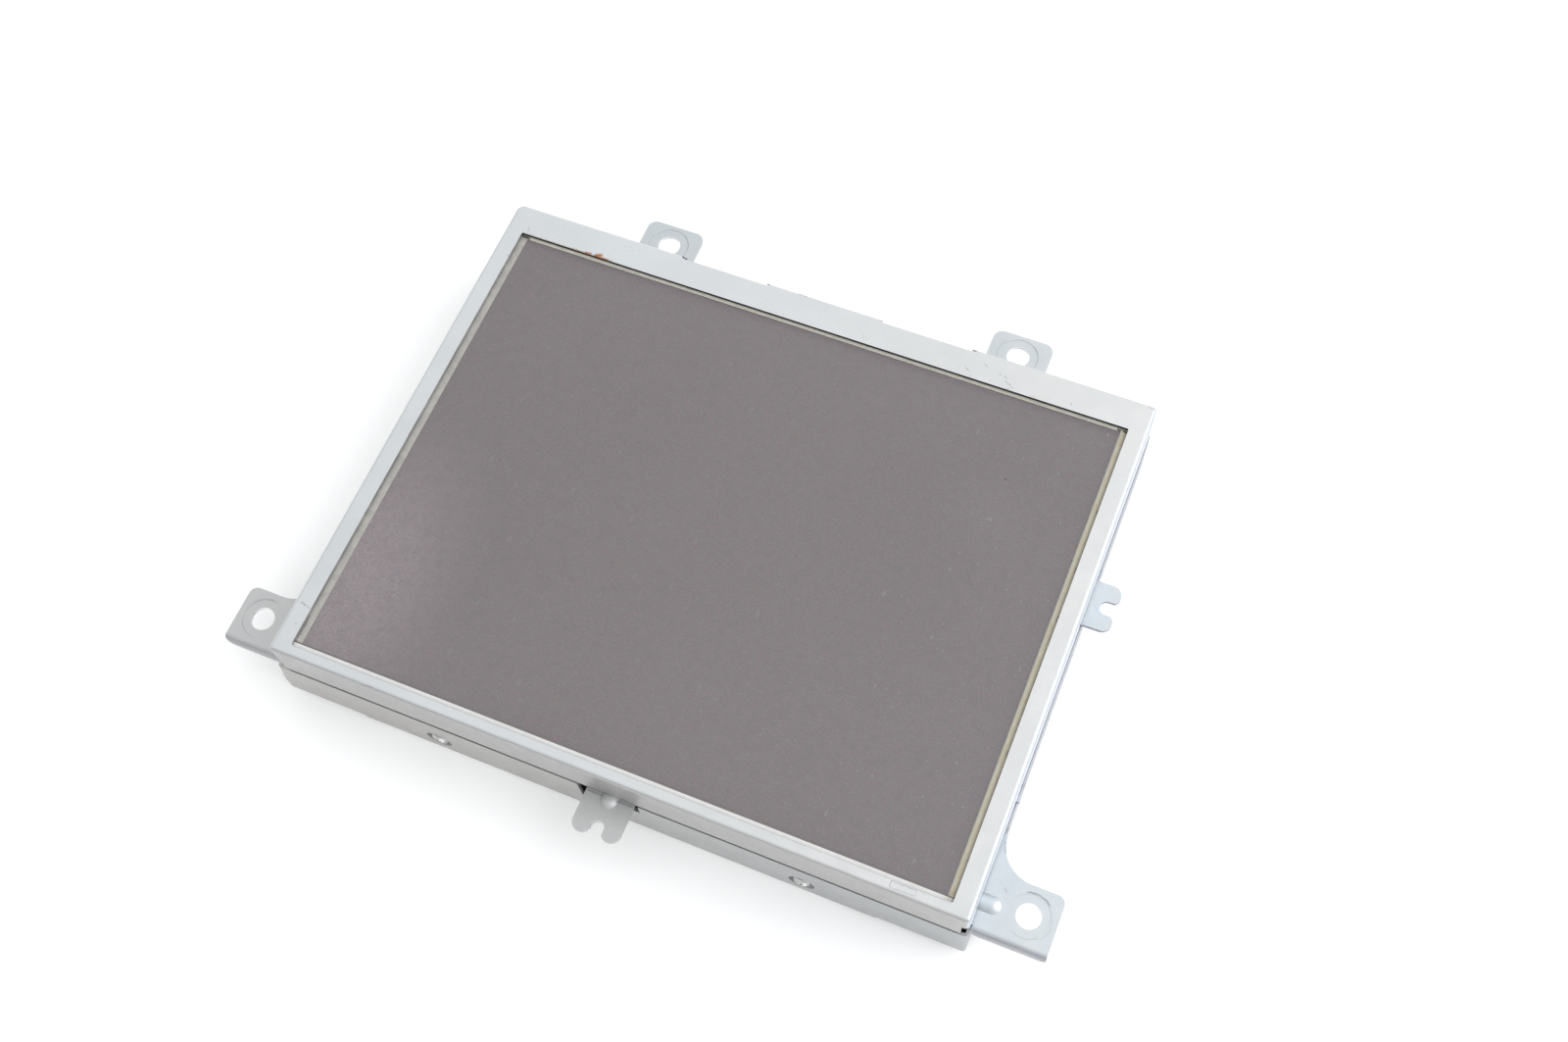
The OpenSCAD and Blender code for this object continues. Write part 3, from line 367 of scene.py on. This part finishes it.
    # painted shade on the rounded lower side of the opening
    rim = OPEN_LOW - 0.1
    base = s.marks(base, GREY, FACE, [(OPEN_LEFT + 0.6, rim, OPEN_RIGHT - 0.6, rim, 0.5, 0.4)])
    # the sheared walls of the opening: black painted shade at the top, and grey on the other sides, partly
    # grime and partly painted shade
    across = s.inside(s.x, OPEN_LEFT - 0.06, OPEN_RIGHT + 0.06, 0.03)
    along = s.inside(s.y, OPEN_LOW - 0.06, OPEN_TOP + 0.06, 0.03)
    wall = s.all_of(across, along, s.step(s.z, FACE - 0.03, FACE - 0.1))
    dirt = s.step(s.noise(0.5, at=s.drawn_out(0.35)), 0.35, 0.65)
    grime_and_shade = s.mix(dirt, (0.42, 0.42, 0.43), (0.59, 0.59, 0.59))
    base = s.mix(wall, base, s.mix(s.step(s.y, OPEN_TOP - 0.2, OPEN_TOP - 0.1), grime_and_shade, BLACK))
    s.colour(base)
    s.on("front_bezel")


def paint_chassis():
    s = ZincSheet("chassis_zinc", rough=0.5)
    # painted light: warm grey at the lower left and a bluish reflection at the upper right, with clouds
    across = s.maths("ADD", s.x, s.maths("MULTIPLY", s.y, 1.3))
    pale = s.mix(s.step(s.noise(0.12), 0.3, 0.7), (0.565, 0.602, 0.622), (0.59, 0.615, 0.625))
    base = s.mix(s.step(across, -70.0, 10.0), (0.575, 0.575, 0.568), pale)
    base = s.mix(s.step(s.noise(0.2, 4.0, 0.6), 0.4, 0.7, 0.0, 0.25), base, (0.53, 0.55, 0.57))
    base = s.mix(s.step(s.noise(1.5, 2.0), 0.45, 0.7, 0.0, 0.12), base, (0.47, 0.48, 0.51))
    # shade in the coined rings: hole, radius, width, middle's direction, half angle, strength
    arcs = (
        (TOP_LEFT, 5.4, 0.35, 24.0, 42.0, 0.55), (TOP_LEFT, 5.9, 0.4, 185.0, 30.0, 0.22),
        (TOP_RIGHT, 5.4, 0.4, 20.0, 42.0, 0.42), (TOP_RIGHT, 5.9, 0.5, 172.0, 38.0, 0.26),
        (LOW_RIGHT, 5.7, 0.45, 80.0, 38.0, 0.8), (LOW_RIGHT, 5.4, 0.4, 275.0, 40.0, 0.3),
        (LOW_RIGHT, 5.9, 0.4, 330.0, 25.0, 0.15),
        (LOW_LEFT, 5.6, 0.5, 112.0, 40.0, 0.28), (LOW_LEFT, 5.4, 0.5, 240.0, 42.0, 0.2))
    for hole, radius, width, toward, spread, strength in arcs:
        ring = s.arc((*hole, EAR), radius, width, toward, spread)
        base = s.mix(s.all_of(ring, strength), base, (0.17, 0.16, 0.20))
    # brown spots on the lower right ear
    base = s.marks(base, (0.33, 0.27, 0.26), EAR, [
        (97.6, -57.9, 98.2, -58.5, 0.9, 0.35), (96.2, -56.9, 96.4, -57.0, 0.5, 0.25),
        (103.0, -57.0, 103.3, -57.1, 0.4, 0.3), (100.3, -54.3, 100.6, -54.4, 0.4, 0.25)])
    # painted shade where the ears and tabs pass under the bezel
    base = s.marks(base, VIOLET, EAR, [
        (-47.4, 79.75, -45.9, 79.4, 0.8, 0.95), (93.6, 26.3, 93.7, 28.5, 0.8, 0.8),
        (93.6, 13.0, 98.8, 13.1, 0.35, 0.75), (93.4, 12.7, 93.6, 12.4, 0.7, 0.8),
        (94.1, -47.2, 94.8, -49.4, 0.6, 0.6), (-5.8, -72.5, 6.4, -72.5, 0.7, 0.4)])
    # painted shade on the lips turned down along the lower ears: paler below, a dark line along the bend
    past_housing = s.step(s.maths("ABSOLUTE", s.x), 91.0, 92.0)
    side = LOW_LEFT[1] - EAR_SIDE
    turned_down = s.step(s.z, EAR - 1.6, EAR - 2.2)
    bend_height = s.inside(s.z, EAR - 3.2, EAR - 0.35, 0.35)
    lip_shade = s.all_of(s.step(s.y, side - 0.2, side - 0.6), past_housing, turned_down)
    lip_bend_shade = s.all_of(s.step(s.y, side + 0.2, side - 0.3), past_housing, bend_height)
    base = s.mix(lip_shade, base, (0.45, 0.455, 0.46))
    base = s.mix(s.all_of(lip_bend_shade, 0.75), base, (0.27, 0.275, 0.29))
    # the sheared edges of the ear and tab on the right
    right = BEZEL_HIGH[0]
    wall = s.all_of(s.step(s.upright(), 0.6, 0.3), s.step(s.x, right - 0.5, right + 0.1))
    edge = s.all_of(wall, s.inside(s.z, EAR - 1.1, EAR - 0.02, 0.03))
    base = s.mix(s.all_of(edge, 0.8), base, (0.29, 0.28, 0.36))
    # painted highlight: bright sheared walls of the screw holes
    for hole in (TOP_LEFT, TOP_RIGHT, LOW_LEFT, LOW_RIGHT):
        around = s.vector("LENGTH", s.outward(s.place, (*hole, EAR)))
        base = s.mix(s.inside(around, HOLE_R - 0.2, HOLE_R + 0.03, 0.02), base, (0.95, 0.96, 0.97))
    s.colour(base)
    s.on("chassis", "board_posts")


# The dimples round the cover screws: the middle of their depth, and the radius painted
DIMPLE_Y = 71.3
DIMPLE_R = 3.7


def paint_cover():
    s = ZincSheet("cover_zinc", rough=0.47)
    base = s.tint((0.575, 0.570, 0.560), (0.545, 0.552, 0.556))
    # painted shade: the walls below and on the right are darker
    right, low = COVER_HIGH[0], COVER_LOW[1]
    low_wall_shade = s.mix(s.step(s.x, -60.0, 90.0), (0.460, 0.450, 0.438), (0.445, 0.455, 0.462))
    right_wall_shade = s.all_of(s.step(s.x, right - 0.8, right - 0.3), s.step(s.y, low + 0.7, low + 1.4))
    base = s.mix(s.step(s.y, low + 1.4, low + 0.4), base, low_wall_shade)
    base = s.mix(right_wall_shade, base, (0.41, 0.415, 0.45))
    # blots of grime on the right wall: y and z of both ends, width, strength
    blots = (
        (33.9, 6.2, 32.7, 7.8, 3.0, 0.9), (-28.0, 5.4, -28.6, 7.4, 3.8, 0.85),
        (-40.5, 5.6, -41.3, 8.0, 4.6, 0.85))
    for y0, z0, y1, z1, width, strength in blots:
        blot = s.stroke((right, y0, z0), (right, y1, z1), width)
        base = s.mix(s.all_of(blot, strength), base, VIOLET)
    # painted light: the dimples round the screws are matt grey so that they look lit, with a dark crescent
    # of painted shadow under their upper side
    middles = ((x, side * DIMPLE_Y, SCREW_Z) for x, side, turn in SCREWS)
    dimples = s.any_of(*(s.spot(middle, DIMPLE_R, 0.06) for middle in middles))
    crescent_shadow = s.step(s.z, SCREW_Z + 0.1, SCREW_Z + 1.9)
    base = s.mix(dimples, base, s.mix(crescent_shadow, (0.33, 0.33, 0.33), (0.12, 0.115, 0.125)))
    s.metal(s.step(dimples, 0.0, 1.0, PLATING, 0.0))
    s.colour(base)
    s.on("rear_cover")


def paint_screws():
    s = Surface("screw_zinc", metal=1.0)
    wear = s.noise(1.2)
    tint = s.mix(s.step(wear, 0.35, 0.7), (0.54, 0.54, 0.54), (0.40, 0.395, 0.37))
    # painted reflection: a tan tint on the lower part of each head
    tint = s.mix(s.step(s.z, SCREW_Z + 1.1, SCREW_Z - 1.9, 0.0, 0.55), tint, (0.46, 0.435, 0.36))
    # a painted highlight on each head's upper right
    for x, side, turn in SCREWS:
        painted_highlight = s.spot((x + 0.9, side * (SEAT + 1.2), SCREW_Z + 0.7), 1.0, 0.5)
        tint = s.mix(painted_highlight, tint, (0.93, 0.97, 1.0))
    s.colour(tint)
    s.rough(s.step(wear, 0.3, 0.7, 0.14, 0.24))
    s.bump(s.noise(5.0, 2.0), 0.000008, 0.5)
    s.on("cover_screws", "board_screws")
    return s.mat


# A cover screw in millimetres, with its seat at height 0 and its head upwards
SHAFT_R = 1.25
SHAFT_END_R = 1.0
SHAFT_LENGTH = 4.5
HEAD_R = 2.4
RIM_HEIGHT = 0.35
DOME_HEIGHT = 1.2
RECESS_DEPTH = 0.8
# the cross recess: half the span and half the width of its arms, at the top and at the bottom
CROSS_TOP = (1.35, 0.33)
CROSS_BOTTOM = (0.55, 0.16)


def lathe(rows, steps=48):
    """A closed turned body about z, from rows of radius and height that start and end on the axis."""
    bm = bmesh.new()
    turns = [math.tau * i / steps for i in range(steps)]
    rings = []
    for r, h in rows:
        if r == 0:
            rings.append([bm.verts.new((0, 0, h))] * steps)
        else:
            rings.append([bm.verts.new((r * math.cos(a), r * math.sin(a), h)) for a in turns])
    for low, high in zip(rings, rings[1:]):
        for i in range(steps):
            j = (i + 1) % steps
            # on the axis two corners are one vertex, and a face holds it only once
            bm.faces.new(list(dict.fromkeys((low[i], low[j], high[j], high[i]))))
    bmesh.ops.recalc_face_normals(bm, faces=bm.faces)
    return bm


def cross_ring(bm, reach, half, z):
    """The twelve corners of a plus sign at one height; half is half the width of its arms."""
    outline = (
        (reach, -half), (reach, half), (half, half), (half, reach), (-half, reach), (-half, half),
        (-reach, half), (-reach, -half), (-half, -half), (-half, -reach), (half, -reach), (half, -half))
    return [bm.verts.new((x, y, z)) for x, y in outline]


def cross_cutter(top, depth):
    """A plus-shaped plug that narrows downwards, from just over the top."""
    bm = bmesh.new()
    upper = cross_ring(bm, *CROSS_TOP, top + 0.2)
    lower = cross_ring(bm, *CROSS_BOTTOM, top - depth)
    bm.faces.new(upper)
    bm.faces.new(reversed(lower))
    for i in range(len(upper)):
        j = (i + 1) % len(upper)
        bm.faces.new((upper[i], lower[i], lower[j], upper[j]))
    bmesh.ops.recalc_face_normals(bm, faces=bm.faces)
    return bm


def as_object(bm, name):
    """Makes an object of a mesh under construction, which is freed."""
    mesh = bpy.data.meshes.new(name)
    bm.to_mesh(mesh)
    bm.free()
    made = bpy.data.objects.new(name, mesh)
    bpy.context.collection.objects.link(made)
    return made


def screw_mesh():
    """A domed pan-head screw with a cross recess, in millimetres."""
    rows = [(0.0, -SHAFT_LENGTH), (SHAFT_END_R, -SHAFT_LENGTH), (SHAFT_R, 0.3 - SHAFT_LENGTH)]
    rows += [(SHAFT_R, 0.0), (HEAD_R - 0.12, 0.0), (HEAD_R, 0.1), (HEAD_R, RIM_HEIGHT)]
    for degrees in range(9, 90, 9):
        a = math.radians(degrees)
        rows.append((HEAD_R * math.cos(a) ** 0.8, RIM_HEIGHT + DOME_HEIGHT * math.sin(a)))
    top = RIM_HEIGHT + DOME_HEIGHT
    rows.append((0.0, top))
    blank = as_object(lathe(rows), "screw_blank")
    cutter = as_object(cross_cutter(top, RECESS_DEPTH), "screw_cutter")
    cut = blank.modifiers.new("recess", "BOOLEAN")
    cut.object = cutter
    cut.operation = "DIFFERENCE"
    cut.solver = "EXACT"
    cut_blank = blank.evaluated_get(bpy.context.evaluated_depsgraph_get())
    mesh = bpy.data.meshes.new_from_object(cut_blank)
    bpy.data.objects.remove(blank)
    bpy.data.objects.remove(cutter)
    return mesh


def cover_screws(material):
    """The four screws of the cover, as one piece."""
    shape = screw_mesh()
    bm = bmesh.new()
    for x, side, turn in SCREWS:
        start = len(bm.verts)
        bm.from_mesh(shape)
        bm.verts.ensure_lookup_table()
        seat = Matrix.Translation((x / MM, side * SEAT / MM, SCREW_Z / MM))
        seat = seat @ Matrix.Rotation(-side * math.radians(90), 4, "X")
        turned = Matrix.Rotation(math.radians(turn), 4, "Z") @ Matrix.Scale(1 / MM, 4)
        bmesh.ops.transform(bm, matrix=seat @ turned, verts=bm.verts[start:])
    screws = as_object(bm, "pan_screws")
    for face in screws.data.polygons:
        face.use_smooth = True
    screws.data.set_sharp_from_angle(angle=math.radians(32))
    screws.data.materials.append(material)
    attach(screws, "root")
    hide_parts("cover_screws")


def paint_film():
    s = Surface("screen_coat", rough=0.42)
    haze = s.step(s.noise(0.012), 0.35, 0.65)
    base = s.mix(haze, (0.124, 0.110, 0.107), (0.133, 0.119, 0.116))
    # a darker, warmer band of painted shade under the upper side
    band = s.step(s.y, FILM_HIGH[1] - 2.8, FILM_HIGH[1] - 0.6, 0.0, 0.55)
    base = s.mix(band, base, (0.108, 0.083, 0.087))
    # a painted reflection at the lower left, a paler, pinkish field long along y; and a faint paler field
    # at the upper right
    from_corner = s.vector("SUBTRACT", s.place, (-84.0, -48.0, FILM))
    field = s.step(s.vector("LENGTH", s.vector("MULTIPLY", from_corner, (1.0, 0.62, 1.0))), 36.0, 4.0)
    base = s.mix(s.all_of(field, 0.95), base, (0.243, 0.207, 0.213))
    faint = s.step(s.vector("DISTANCE", s.place, (62.0, 28.0, FILM)), 16.0, 2.0)
    base = s.mix(s.all_of(faint, 0.16), base, (0.20, 0.19, 0.19))
    # coating grain, with a little red and blue in it
    pale = s.noise(2.4, 3.0, 0.75)
    dark = s.noise(0.45, 3.0, 0.7)
    red = s.noise(1.8, 3.0, 0.7, at=s.moved((31.0, 7.0, 3.0)))
    blue = s.noise(2.1, 3.0, 0.7, at=s.moved((5.0, 53.0, 9.0)))
    base = s.mix(s.step(pale, 0.36, 0.66, 0.0, 0.75), base, (0.187, 0.169, 0.169))
    base = s.mix(s.step(dark, 0.42, 0.68, 0.0, 0.22), base, (0.108, 0.097, 0.100))
    base = s.mix(s.step(red, 0.45, 0.66, 0.0, 0.5), base, (0.178, 0.114, 0.122))
    base = s.mix(s.step(blue, 0.47, 0.68, 0.0, 0.5), base, (0.108, 0.121, 0.146))
    # dust: more of it at the right, with a few dark grains and long specks
    more = s.step(s.x, 20.0, 75.0, 0.4, 0.9)
    fine = s.specks(0.28, 0.075, 0.7)
    dark_grains = s.specks(0.16, 0.035, 0.6)
    bright = s.specks(0.11, 0.026, 0.55)
    long_specks = s.specks(0.12, 0.075, 0.5, at=s.drawn_out(0.45))
    base = s.mix(s.all_of(fine, more), base, (0.20, 0.197, 0.212))
    base = s.mix(s.all_of(dark_grains, 0.4), base, (0.07, 0.06, 0.065))
    base = s.mix(s.all_of(bright, more), base, (0.26, 0.275, 0.30))
    base = s.mix(s.all_of(long_specks, more, 0.4), base, (0.23, 0.24, 0.27))
    # a black speck, a smudge and a fleck
    base = s.marks(base, (0.02, 0.018, 0.02), FILM, [(63.1, 38.9, 63.2, 38.7, 0.7, 0.9)])
    base = s.marks(base, (0.42, 0.40, 0.38), FILM, [
        (62.6, 26.7, 63.6, 26.5, 0.9, 0.2), (83.4, 60.4, 83.5, 60.3, 0.5, 0.7)])
    s.colour(base)
    s.rough(s.step(s.noise(0.03, 4.0), 0.3, 0.7, 0.38, 0.48))
    s.bump(s.noise(9.0, 2.0), 0.000004, 0.4)
    s.on("touch_film")


def right_strip(s, run):
    """The right strip of the tape: stripes of dust, fresh tape and dirt along it, with painted shadow of
    the bezel's edge on its outer side.
    """
    def past(start, end):
        return s.step(s.x, FILM_HIGH[0] + start, FILM_HIGH[0] + end)

    tan = s.mix(past(0.15, 0.3), (0.15, 0.14, 0.138), (0.36, 0.345, 0.31))
    tan = s.mix(past(0.45, 0.6), tan, (0.47, 0.435, 0.335))
    # darker tan on the outer side: dirt, and painted shadow of the bezel's edge
    tan = s.mix(past(1.1, 1.4), tan, (0.385, 0.35, 0.285))
    tan = s.mix(s.step(run, 0.4, 0.6, 0.0, 0.35), tan, (0.37, 0.33, 0.205))
    flecks = s.all_of(s.step(s.noise(1.6, 2.0, at=s.drawn_out(0.22)), 0.58, 0.68), past(1.25, 1.55))
    return s.mix(s.all_of(flecks, 0.7), tan, (0.13, 0.10, 0.10))


def paint_tape():
    """Four strips butted at the corners, each with its own fade; their tones are partly painted light and
    shade.
    """
    s = Surface("cream_tape", rough=0.6)
    run = s.noise(0.35, 4.0, 0.6)
    faded = s.step(run, 0.35, 0.65)
    left = s.step(s.x, FILM_LOW[0] + 0.05, FILM_LOW[0] - 0.1)
    right = s.step(s.x, FILM_HIGH[0] - 0.1, FILM_HIGH[0] + 0.05)
    low = s.step(s.y, FILM_LOW[1], FILM_LOW[1] - 0.1)
    base = s.mix(faded, (0.49, 0.47, 0.405), (0.57, 0.545, 0.475))
    # the left strip is darker: partly its own fade, partly painted shade
    base = s.mix(left, base, s.mix(faded, (0.30, 0.287, 0.265), (0.355, 0.338, 0.308)))
    base = s.mix(right, base, right_strip(s, run))
    # the lower strip is whiter, partly its own tone and partly painted light, and its inner side looks
    # like the film
    white = s.mix(faded, (0.63, 0.622, 0.595), (0.665, 0.66, 0.635))
    bare = s.step(s.y, FILM_LOW[1] - 0.55, FILM_LOW[1] - 0.4)
    base = s.mix(low, base, s.mix(bare, white, (0.15, 0.135, 0.137)))
    # black gaps where the strips end, dirt in the corners, and painted shadow of the bezel's edge along
    # the right strip
    base = s.marks(base, BLACK, FILM, [
        (-87.4, 62.9, -85.3, 62.8, 0.9, 0.95), (85.4, 62.9, 86.0, 62.4, 0.9, 0.9),
        (86.9, 62.9, 87.9, 62.6, 1.0, 0.95), (-87.5, -60.0, -87.4, -67.2, 0.45, 0.55),
        (87.9, -66.8, 87.9, 62.0, 0.35, 0.6)])
    # pale scratches, dark scratches and brown spots near the ends
    base = s.marks(base, (0.70, 0.66, 0.55), FILM, [
        (-87.6, -66.0, -86.7, -66.0, 0.25, 0.7), (-87.6, -66.7, -86.7, -66.7, 0.25, 0.7),
        (86.3, 62.9, 86.4, 61.9, 0.35, 0.8)])
    base = s.marks(base, (0.20, 0.18, 0.15), FILM, [
        (86.2, -66.4, 87.8, -66.5, 0.25, 0.75), (86.3, -67.0, 87.7, -67.1, 0.2, 0.6),
        (86.7, -68.6, 86.8, -66.8, 0.25, 0.6), (87.6, -66.8, 87.7, -68.7, 0.4, 0.7)])
    base = s.marks(base, (0.62, 0.46, 0.26), FILM, [
        (86.2, -68.1, 86.5, -68.2, 0.6, 0.7), (87.0, -67.2, 87.4, -67.4, 0.6, 0.5),
        (59.2, 62.6, 59.4, 63.1, 0.5, 0.9)])
    s.colour(base)
    s.bump(s.noise(3.0), 0.00002, 0.4)
    s.on("edge_tape")


# The inner and rear pieces: material, CAD nodes, light colour, dark colour, lumps of the pattern
# in a millimetre, roughness, depth of the relief in metres, and how metallic
INNER = (
    ("cell_foam", ("bezel_gasket", "panel_gasket"),
     (0.045, 0.044, 0.043), (0.02, 0.02, 0.02), 0.8, 0.85, 0.0001, 0.0),
    ("float_glass", ("touch_glass", "filter_glass", "tft_glass"),
     (0.62, 0.70, 0.68), (0.55, 0.64, 0.62), 0.05, 0.08, 0.000002, 0.0),
    ("polariser", ("front_polariser", "rear_polariser"),
     (0.06, 0.05, 0.07), (0.045, 0.04, 0.055), 0.08, 0.2, 0.000003, 0.0),
    ("flex_film", ("touch_flex", "panel_flex", "led_flex"),
     (0.66, 0.40, 0.10), (0.52, 0.29, 0.06), 0.3, 0.3, 0.00002, 0.0),
    ("epoxy", ("driver_chips", "board_chips"),
     (0.05, 0.05, 0.055), (0.025, 0.025, 0.03), 1.5, 0.55, 0.00002, 0.0),
    ("black_resin", ("mould_frame",),
     (0.055, 0.055, 0.06), (0.03, 0.03, 0.033), 0.5, 0.5, 0.00003, 0.0),
    ("white_resin", ("led_strip",),
     (0.84, 0.84, 0.80), (0.76, 0.76, 0.72), 0.2, 0.45, 0.00002, 0.0),
    ("optical_film", ("prism_sheet", "diffuser_sheet", "reflector_sheet"),
     (0.90, 0.91, 0.92), (0.84, 0.85, 0.87), 0.1, 0.4, 0.00001, 0.0),
    ("acrylic", ("light_guide",),
     (0.84, 0.89, 0.91), (0.78, 0.84, 0.87), 0.05, 0.1, 0.000003, 0.0),
    ("phosphor", ("backlight_leds",),
     (0.90, 0.78, 0.30), (0.82, 0.66, 0.20), 1.0, 0.35, 0.00001, 0.0),
    ("fibre_sheet", ("insulator_sheet",),
     (0.78, 0.75, 0.66), (0.70, 0.66, 0.56), 0.4, 0.6, 0.00003, 0.0),
    ("board_mask", ("control_board",),
     (0.05, 0.25, 0.12), (0.03, 0.17, 0.08), 0.3, 0.3, 0.00002, 0.0),
    ("ferrite", ("board_coils",),
     (0.22, 0.22, 0.23), (0.15, 0.15, 0.16), 0.8, 0.6, 0.00004, 0.0),
    ("can_metal", ("board_capacitors",),
     (0.78, 0.80, 0.82), (0.68, 0.70, 0.73), 0.5, 0.3, 0.00001, 1.0),
    ("cream_nylon", ("flex_sockets",),
     (0.84, 0.82, 0.72), (0.76, 0.73, 0.62), 0.4, 0.45, 0.00002, 0.0),
    ("black_nylon", ("rear_header",),
     (0.045, 0.045, 0.05), (0.025, 0.025, 0.03), 0.6, 0.45, 0.00003, 0.0),
    ("contact_brass", ("header_pins",),
     (0.80, 0.66, 0.32), (0.68, 0.54, 0.24), 1.0, 0.25, 0.00001, 1.0),
)


def paint_inner():
    for name, nodes, light, dark, scale, rough, depth, metal in INNER:
        s = Surface(name, metal=metal)
        pattern = s.noise(scale)
        s.colour(s.mix(s.step(pattern, 0.35, 0.65), dark, light))
        s.rough(s.step(pattern, 0.3, 0.7, rough + 0.05, rough - 0.05))
        s.bump(s.noise(scale * 6.0, 2.0), depth, 0.5)
        s.on(*nodes)


# Studio, in metres and watts
FLOOR_SIZE = 8.0
FLOOR_GAP = 0.0001
SKY = (0.97, 0.985, 1.0, 1.0)
# the sky is brightest in this direction and dimmest opposite to it
SKY_TOWARD = (0.55, 0.55, 0.45)
SKY_REACH = 0.8
SKY_DIM, SKY_BRIGHT = 0.46, 1.2
LAMP_TINT = (0.96, 0.98, 1.0)
LAMP_SIZE = 1.6
KEY_PLACE, KEY_WATTS = (1.15, 0.36, 0.86), 16.0
FILL_PLACE, FILL_WATTS = (-0.35, -1.1, 0.75), 9.0


def sky():
    """Soft light from all round, brighter on one side."""
    world = bpy.data.worlds.new("soft_studio")
    bpy.context.scene.world = world
    world.use_nodes = True
    tree = world.node_tree
    back = tree.nodes["Background"]
    coords = tree.nodes.new("ShaderNodeTexCoord")
    toward = tree.nodes.new("ShaderNodeVectorMath")
    toward.operation = "DOT_PRODUCT"
    toward.inputs[1].default_value = SKY_TOWARD
    level = tree.nodes.new("ShaderNodeMapRange")
    limits = {"From Min": -SKY_REACH, "From Max": SKY_REACH, "To Min": SKY_DIM, "To Max": SKY_BRIGHT}
    for key, limit in limits.items():
        level.inputs[key].default_value = limit
    tree.links.new(coords.outputs["Generated"], toward.inputs[0])
    tree.links.new(toward.outputs["Value"], level.inputs["Value"])
    tree.links.new(level.outputs[0], back.inputs["Strength"])
    back.inputs["Color"].default_value = SKY


def floor():
    """A plain pale floor, just under the part."""
    bpy.ops.mesh.primitive_plane_add(size=FLOOR_SIZE, location=(0, 0, -FLOOR_GAP))
    plane = bpy.context.object
    plane.name = "floor"
    s = Surface("pale_floor", rough=0.8)
    cloud = s.step(s.noise(0.004), 0.35, 0.65)
    s.colour(s.mix(cloud, (0.93, 0.925, 0.915), (0.95, 0.945, 0.935)))
    plane.data.materials.append(s.mat)


def soft_light(name, place, watts):
    """A large lamp that is turned to the part."""
    light = bpy.data.lights.new(name, "AREA")
    light.energy = watts
    light.color = LAMP_TINT
    light.size = LAMP_SIZE
    lamp = bpy.data.objects.new(name, light)
    bpy.context.collection.objects.link(lamp)
    lamp.location = place
    lamp.rotation_euler = (-lamp.location).to_track_quat("-Z", "Y").to_euler()
    return lamp


def studio():
    bpy.context.scene.view_settings.view_transform = "Standard"
    sky()
    floor()
    soft_light("key_light", KEY_PLACE, KEY_WATTS)
    fill = soft_light("fill_light", FILL_PLACE, FILL_WATTS)
    fill.visible_glossy = False


# The photograph's camera: lens and sensor in millimetres, its place in metres, and the directions
# of the picture's right side, its lower side and its depth
LENS = 40.043
SENSOR = 36.0
CAMERA_PLACE = (0.10685, -0.16232, 0.43312)
CAMERA_RIGHT = Vector((0.92339, 0.38039, -0.05158))
CAMERA_DOWN = Vector((0.32307, -0.84265, -0.43078))
CAMERA_AHEAD = Vector((-0.20733, 0.38111, -0.90098))
CLIP = (0.01, 50.0)


def camera():
    data = bpy.data.cameras.new("camera")
    data.lens = LENS
    data.sensor_width = SENSOR
    data.clip_start, data.clip_end = CLIP
    cam = bpy.data.objects.new("camera", data)
    turn = Matrix((CAMERA_RIGHT, -CAMERA_DOWN, -CAMERA_AHEAD)).transposed()
    cam.matrix_world = Matrix.Translation(CAMERA_PLACE) @ turn.to_4x4()
    bpy.context.collection.objects.link(cam)
    bpy.context.scene.camera = cam


camera()
studio()
paint_bezel()
paint_chassis()
paint_cover()
cover_screws(paint_screws())
paint_film()
paint_tape()
paint_inner()
